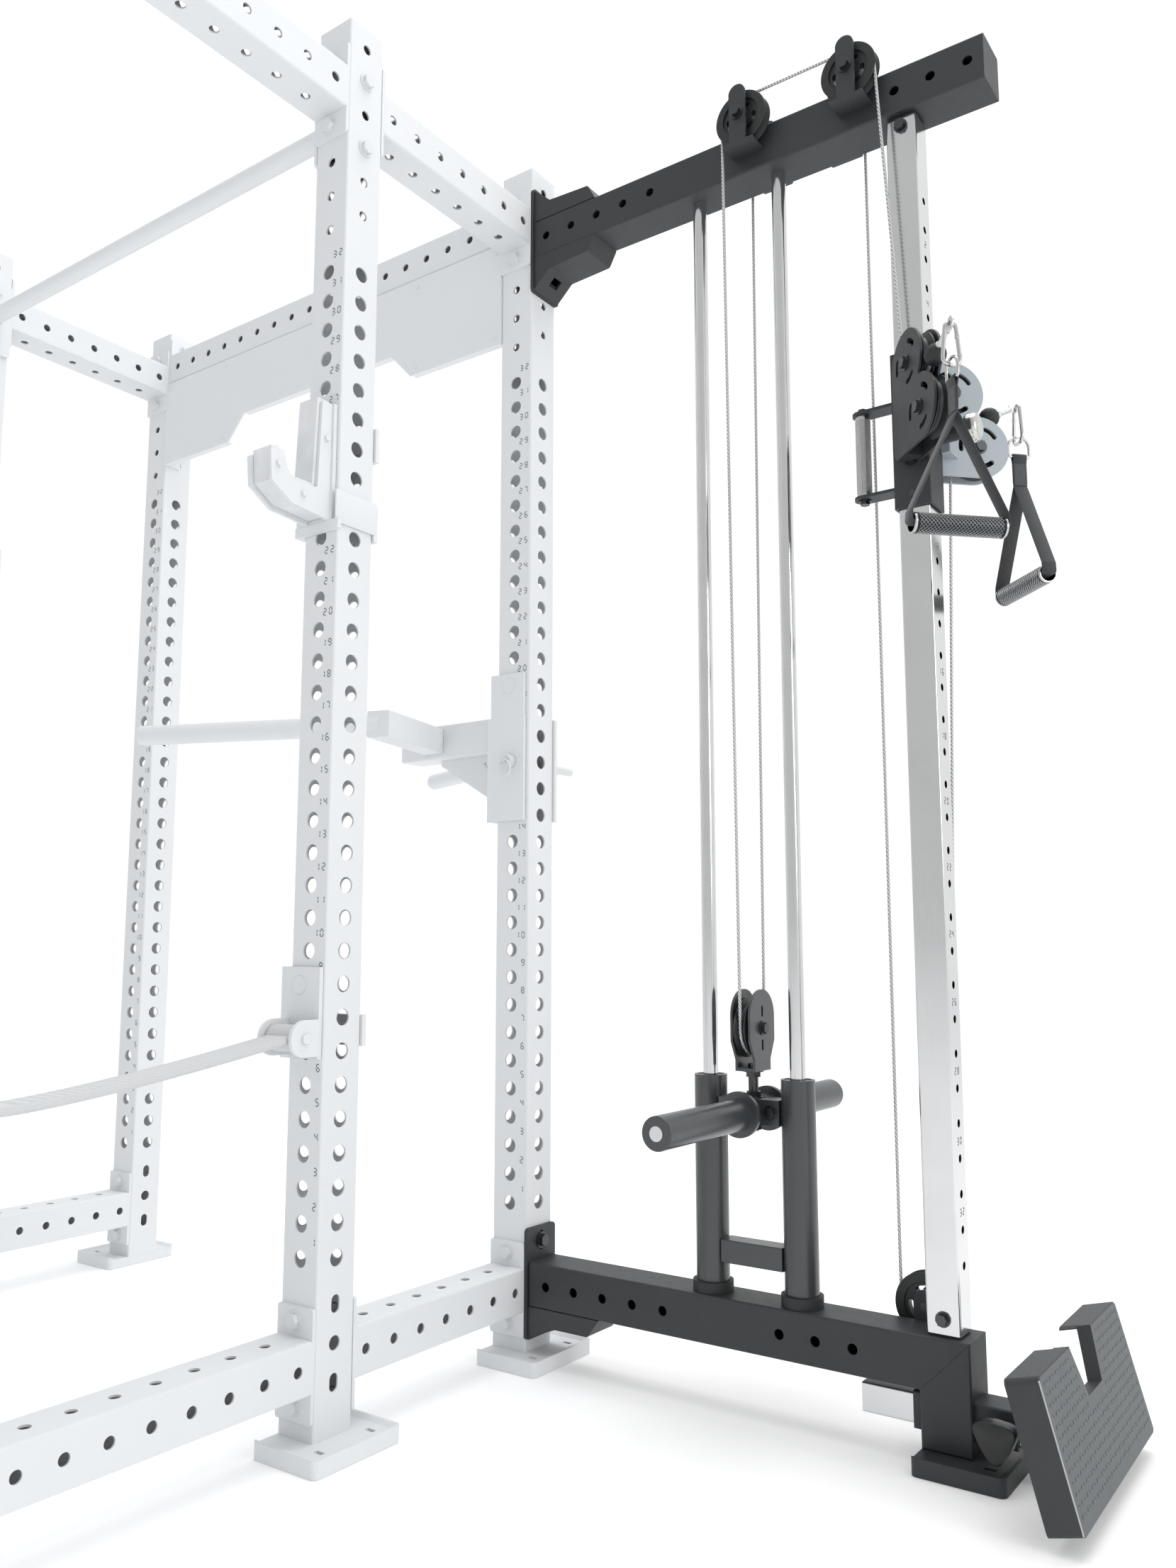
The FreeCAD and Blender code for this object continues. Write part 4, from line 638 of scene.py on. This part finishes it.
def cable_ends():
    """Rubber ball, swaged ferrule and drilled fork plate on each cable end."""
    ball_to_eye, ball_radius = 55 * MM, 16.7
    rubber, metal = bmesh.new(), bmesh.new()
    ferrule = [(0, 15), (6.2, 15.5), (6.8, 17.2), (6.8, 19), (5.6, 20), (4.4, 23), (4.4, 40), (3.4, 43),
               (0, 43)]
    for side_name in ("front", "rear"):
        place = handle_place(side_name)
        eye = place.translation
        upper = Vector(JOINTS[side_name + "_head_pulley_upper_spin"]["pos_m"])
        lower = Vector(JOINTS[side_name + "_head_pulley_lower_spin"]["pos_m"])
        along = (lower - upper).normalized()
        level = Vector((lower.x - upper.x, lower.y - upper.y, 0)).normalized()
        line = (level * -along.z + Z * level.dot(along)).normalized()
        spot = axis_place(eye - line * ball_to_eye, line)
        ball = []
        for k in range(25):
            a = math.pi * k / 24
            seam = 0.25 * math.exp(-((a - math.pi / 2) / 0.05) ** 2)
            ball.append(((ball_radius + seam) * math.sin(a) * MM, -ball_radius * math.cos(a) * MM))
        ball[0], ball[-1] = (0, ball[0][1]), (0, ball[-1][1])
        lathe(rubber, ball, spot, 48)
        lathe(metal, [(a * MM, h * MM) for a, h in ferrule], spot, 28)
        fork_plate(metal, eye, line, place.to_3x3() @ X)
    ball = piece("cable_end_balls", rubber, "rubber", "trolley")
    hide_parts("cable_stops")
    piece("cable_end_forks", metal, "zinc", "trolley")


def fork_plate(mesh, eye, line, across):
    """Rounded plate round the eye's hole, its long side along the cable's line."""
    up = across.cross(line)
    half, sides, hole = 2.0 * MM, 24, 4.6 * MM
    rings = []
    for depth, scale in ((-half, 0.96), (-half * 0.8, 1.0), (half * 0.8, 1.0), (half, 0.96)):
        outer = []
        for k in range(sides):
            a = 2 * math.pi * (k + 0.5) / sides
            u = math.copysign(abs(math.cos(a)) ** 0.55, math.cos(a)) * 12.5 * MM * scale
            v = math.copysign(abs(math.sin(a)) ** 0.55, math.sin(a)) * 8.5 * MM * scale
            outer.append(mesh.verts.new(eye + line * (u - 1.5 * MM) + up * v + across * depth))
        rings.append(outer)
    for depth in (half, -half):
        inner = []
        for k in range(sides):
            a = 2 * math.pi * (k + 0.5) / sides
            spoke = line * math.cos(a) + up * math.sin(a)
            inner.append(mesh.verts.new(eye + spoke * hole + across * depth))
        rings.append(inner)
    for a, b in zip(rings, rings[1:] + rings[:1]):
        for k in range(sides):
            j = (k + 1) % sides
            mesh.faces.new((a[k], a[j], b[j], b[k]))


# ---- safety straps ----
def safety_straps():
    """Two layers of webbing slung between the pins, each folded round its pin and sewn."""
    low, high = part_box("safety_straps")
    width, thick = 56 * MM, 11.6 * MM
    pin_radius, fold_radius = 8 * MM, 20 * MM
    front, rear = low.y + fold_radius, high.y - fold_radius
    pin_z = high.z - fold_radius
    mid, half, sag = (front + rear) / 2, (rear - front) / 2, 57 * MM
    ring = [(pin_radius + 0.5 * MM, -1), (19.4 * MM, -1), (19.9 * MM, -0.93), (19.9 * MM, 0.93),
            (19.4 * MM, 1), (pin_radius + 0.5 * MM, 1)]
    mesh, thread = bmesh.new(), bmesh.new()
    for x in (high.x - width / 2, low.x + width / 2):
        place = Matrix.Translation((x, 0, 0))
        line = []
        for i in range(41):
            s = -1 + 2 * i / 40
            line.append(Vector((0, mid + s * (half - 14 * MM), pin_z - sag * (1 - abs(s) ** 1.35))))
        swept(mesh, line, band(width, thick), X, False, place)
        for y in (front, rear):
            spot = axis_place(Vector((x, y, pin_z)), X)
            lathe(mesh, [(r, h * width / 2) for r, h in ring], spot, 44, True)
        strap_seams(thread, line, place)
    strap = piece("safety_strap_webbing", mesh, "white_web", "rack")
    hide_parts("safety_straps")
    piece("safety_strap_stitching", thread, "white_thread", "rack")


def strap_seams(mesh, line, place):
    """Four rows of stitches along the upper face of one safety strap."""
    for point, ahead in zip(line[2:39], line[3:40]):
        run = (ahead - point).normalized()
        up = X.cross(run) * -1
        for edge in (-22, -7, 7, 22):
            for part in (0.25, 0.75):
                spot = place @ (point.lerp(ahead, part) + X * edge * MM + up * 5.85 * MM)
                bar_stitch(mesh, spot, run, up, 8 * MM, 0.5 * MM)


# ---- foot plate ----
def plate_axes():
    """Down and out directions of the foot plate's tilted face."""
    tilt = math.radians(PLATE_TILT)
    return Vector((math.sin(tilt), 0, -math.cos(tilt))), Vector((math.cos(tilt), 0, math.sin(tilt)))


def tread_pattern():
    """Raised dashes in a herringbone over the tilted face of the foot plate, clear of its notch."""
    low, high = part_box("foot_plate")
    half = (high.y - low.y) / 2
    down, out = plate_axes()
    mesh = bmesh.new()
    pitch = 12.5 * MM
    columns = int((2 * half - 14 * MM) / pitch)
    rows = int((PLATE_DEPTH - 12 * MM) / pitch)
    for row in range(rows):
        for column in range(columns):
            y = (column - (columns - 1) / 2) * pitch
            s = 11 * MM + row * pitch
            notch = 67 * MM - s * 0.33
            if s < 80 * MM and abs(y) < notch:
                continue
            lean = math.radians(42 if (row + column) % 2 else -42)
            run = Y * math.cos(lean) + down * math.sin(lean)
            tread_dash(mesh, Vector(PLATE_TOP) + down * s + Y * y, run, out)
    piece("tread_dashes", mesh, "tread_mark", "foot_plate")


def worn_edges():
    """Painted highlight: a bright metal line down each fold at the sides of the tilted face, where the fold's
    edge catches the light.
    """
    low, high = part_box("foot_plate")
    half = (high.y - low.y) / 2
    down, out = plate_axes()
    mesh = bmesh.new()
    for side in (-1, 1):
        top = Vector(PLATE_TOP) + Y * side * (half - 1.1 * MM) - out * 1.0 * MM
        line = [top + down * PLATE_DEPTH * k / 8 for k in range(9)]
        line[0], line[-1] = line[0] + down * 4 * MM, line[-1] - down * 3 * MM
        swept(mesh, line, circle(1.15 * MM, 10), Y, False, Matrix.Identity(4))
    piece("foot_plate_painted_highlights", mesh, "highlight_on_folds", "foot_plate")


def tread_dash(mesh, spot, run, out):
    """One dash: a pointed oval, domed to its middle."""
    side = out.cross(run)
    outline = [(-4.2, 0), (-2.4, 0.9), (0, 1.25), (2.4, 0.9), (4.2, 0), (2.4, -0.9), (0, -1.25),
               (-2.4, -0.9)]
    low, high = spot - out * 0.2 * MM, spot + out * 0.55 * MM
    base = [mesh.verts.new(low + run * u * MM + side * v * MM) for u, v in outline]
    crown = [mesh.verts.new(high + run * u * 0.6 * MM + side * v * 0.5 * MM) for u, v in outline]
    mesh.faces.new(crown)
    mesh.faces.new(base[::-1])
    for k in range(8):
        j = (k + 1) % 8
        mesh.faces.new((base[k], base[j], crown[j], crown[k]))


# ---- clasp lips, clamp knob and mitre ----
def j_cup_lips():
    """Folded lip of each J-hook's clasp round the post's outer side."""
    low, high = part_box("middle_posts")
    thick, tall, overhang, clear, middle_z = 3.6 * MM, 54 * MM, 14 * MM, 2.3 * MM, 1.414
    size = Matrix.Diagonal((thick, high.y - low.y + overhang, tall, 1))
    mesh = bmesh.new()
    for x in (high.x + clear, low.x - clear):
        place = Matrix.Translation((x, (low.y + high.y) / 2 - 1 * MM, middle_z))
        lip = bmesh.ops.create_cube(mesh, size=1.0, matrix=place @ size)["verts"]
        edges = list({edge for vert in lip for edge in vert.link_edges})
        bmesh.ops.bevel(mesh, geom=edges, offset=1.2 * MM, segments=2, affect="EDGES", profile=0.5)
    piece("j_cup_lips", mesh, "white", "rack")


def clamp_knob():
    """Three-cornered moulded knob on a turned boss and screw."""
    low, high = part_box("clamp_knob")
    centre = Vector(((low.x + high.x) / 2, low.y, (low.z + high.z) / 2))
    sides = 72
    mesh = bmesh.new()
    rings = []
    for depth, scale in ((1.0, 0.90), (2.2, 0.97), (4.5, 1.0), (20.0, 1.0), (23.5, 0.94), (26.0, 0.72)):
        ring = []
        for k in range(sides):
            a = 2 * math.pi * k / sides
            lobe = a + math.pi / 2
            reach = 27.2 + 4.2 * math.cos(3 * lobe) + 0.9 * math.cos(6 * lobe)
            spot = Vector((math.cos(a), 0, math.sin(a))) * reach * scale * MM
            ring.append(mesh.verts.new(centre + spot + Y * depth * MM))
        rings.append(ring)
    for a, b in zip(rings, rings[1:]):
        for k in range(sides):
            j = (k + 1) % sides
            mesh.faces.new((a[k], a[j], b[j], b[k]))
    mesh.faces.new(rings[0])
    mesh.faces.new(rings[-1][::-1])
    length = high.y - low.y
    boss = [(0, 24 * MM), (14 * MM, 24 * MM), (13 * MM, 39 * MM), (12 * MM, 40 * MM),
            (5 * MM, 40 * MM), (5 * MM, length), (0, length)]
    lathe(mesh, boss, axis_place(centre, Y), 32)
    knob = piece("clamp_knob_moulding", mesh, "knob", "clamp_knob")
    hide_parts("clamp_knob")


def mitre_weld():
    """Dressed weld line where the lower beam meets its end leg, on both side faces."""
    mesh = bmesh.new()
    half, leg_x, beam_z = 37.5 * MM, 789.5 * MM, 136.5 * MM
    for side in (-1, 1):
        line = []
        for k in range(21):
            t = -0.93 + 1.86 * k / 20
            line.append(Vector((leg_x + half * t, side * (half - 0.35 * MM), beam_z + half * t)))
        swept(mesh, line, circle(0.85 * MM, 8), Y, False, Matrix.Identity(4))
    piece("mitre_weld", mesh, "dark", "rack")


# ---- stage, lights and camera ----
def stage():
    """Plain pale floor just under the feet."""
    mesh = bmesh.new()
    size = 30.0
    corners = ((-size, -size), (size, -size), (size, size), (-size, size))
    mesh.faces.new([mesh.verts.new((x, y, 0)) for x, y in corners])
    data = bpy.data.meshes.new("floor")
    mesh.to_mesh(data)
    mesh.free()
    tree = Tree("studio_floor")
    tree.link(tree.blend(tree.noise(0.6, 2), (0.93, 0.93, 0.935), (0.95, 0.95, 0.955)), "Base Color")
    tree.socket("Roughness", 0.9)
    tree.socket("Specular IOR Level", 0.1)
    tree.socket("Emission Color", (1, 1, 1, 1))
    tree.socket("Emission Strength", 0.11)
    data.materials.append(tree.material)
    floor = bpy.data.objects.new("floor", data)
    floor.location.z = -0.5 * MM
    bpy.context.collection.objects.link(floor)


def area_light(name, place, aim, size, power):
    light = bpy.data.lights.new(name, "AREA")
    light.shape = "DISK"
    light.size = size
    light.energy = power
    lamp = bpy.data.objects.new(name, light)
    lamp.location = place
    lamp.rotation_euler = (Vector(aim) - Vector(place)).to_track_quat("-Z", "Y").to_euler()
    bpy.context.collection.objects.link(lamp)


def lights():
    """White backdrop and ceiling, a greyer room in front of the object, and two soft lamps."""
    world = bpy.data.worlds.new("studio")
    world.use_nodes = True
    nodes, links = world.node_tree.nodes, world.node_tree.links
    background = nodes["Background"]
    background.inputs["Color"].default_value = (1.0, 1.0, 1.0, 1)
    split = nodes.new("ShaderNodeSeparateXYZ")
    links.new(nodes.new("ShaderNodeTexCoord").outputs["Generated"], split.inputs["Vector"])
    ramp = nodes.new("ShaderNodeMapRange")
    ramp.interpolation_type = "SMOOTHSTEP"
    for name, number in (("From Min", -0.75), ("From Max", 0.1), ("To Min", 0.70), ("To Max", 1.05)):
        ramp.inputs[name].default_value = number
    links.new(split.outputs["Y"], ramp.inputs["Value"])
    links.new(ramp.outputs["Result"], background.inputs["Strength"])
    bpy.context.scene.world = world
    area_light("key_from_right", (5.2, -0.6, 2.2), (0.0, -0.3, 1.0), 2.4, 42)
    area_light("overhead", (0.8, 0.4, 5.2), (0.4, -0.2, 0.0), 3.6, 85)
    bpy.context.scene.view_settings.view_transform = "Standard"


def camera():
    data = bpy.data.cameras.new("camera")
    data.sensor_width = CAMERA_SENSOR
    data.lens = CAMERA_LENS
    data.clip_end = 100
    view = bpy.data.objects.new("camera", data)
    view.location = CAMERA_PLACE
    view.rotation_euler = (math.radians(90 + CAMERA_RISE), 0, math.radians(CAMERA_TURN))
    bpy.context.collection.objects.link(view)
    bpy.context.scene.camera = view


def build():
    paint_frame()
    for node in ("rear_posts", "middle_posts", "front_posts"):
        post_numbers(node)
    column_numbers()
    for side_name in ("front", "rear"):
        snap_link(side_name)
        d_ring(side_name)
        handle_strap(side_name)
    for side_name in ("front", "rear"):
        handle_grip(side_name)
    trolley_grip()
    cable_ends()
    safety_straps()
    tread_pattern()
    worn_edges()
    j_cup_lips()
    clamp_knob()
    mitre_weld()
    stage()
    lights()
    camera()


build()
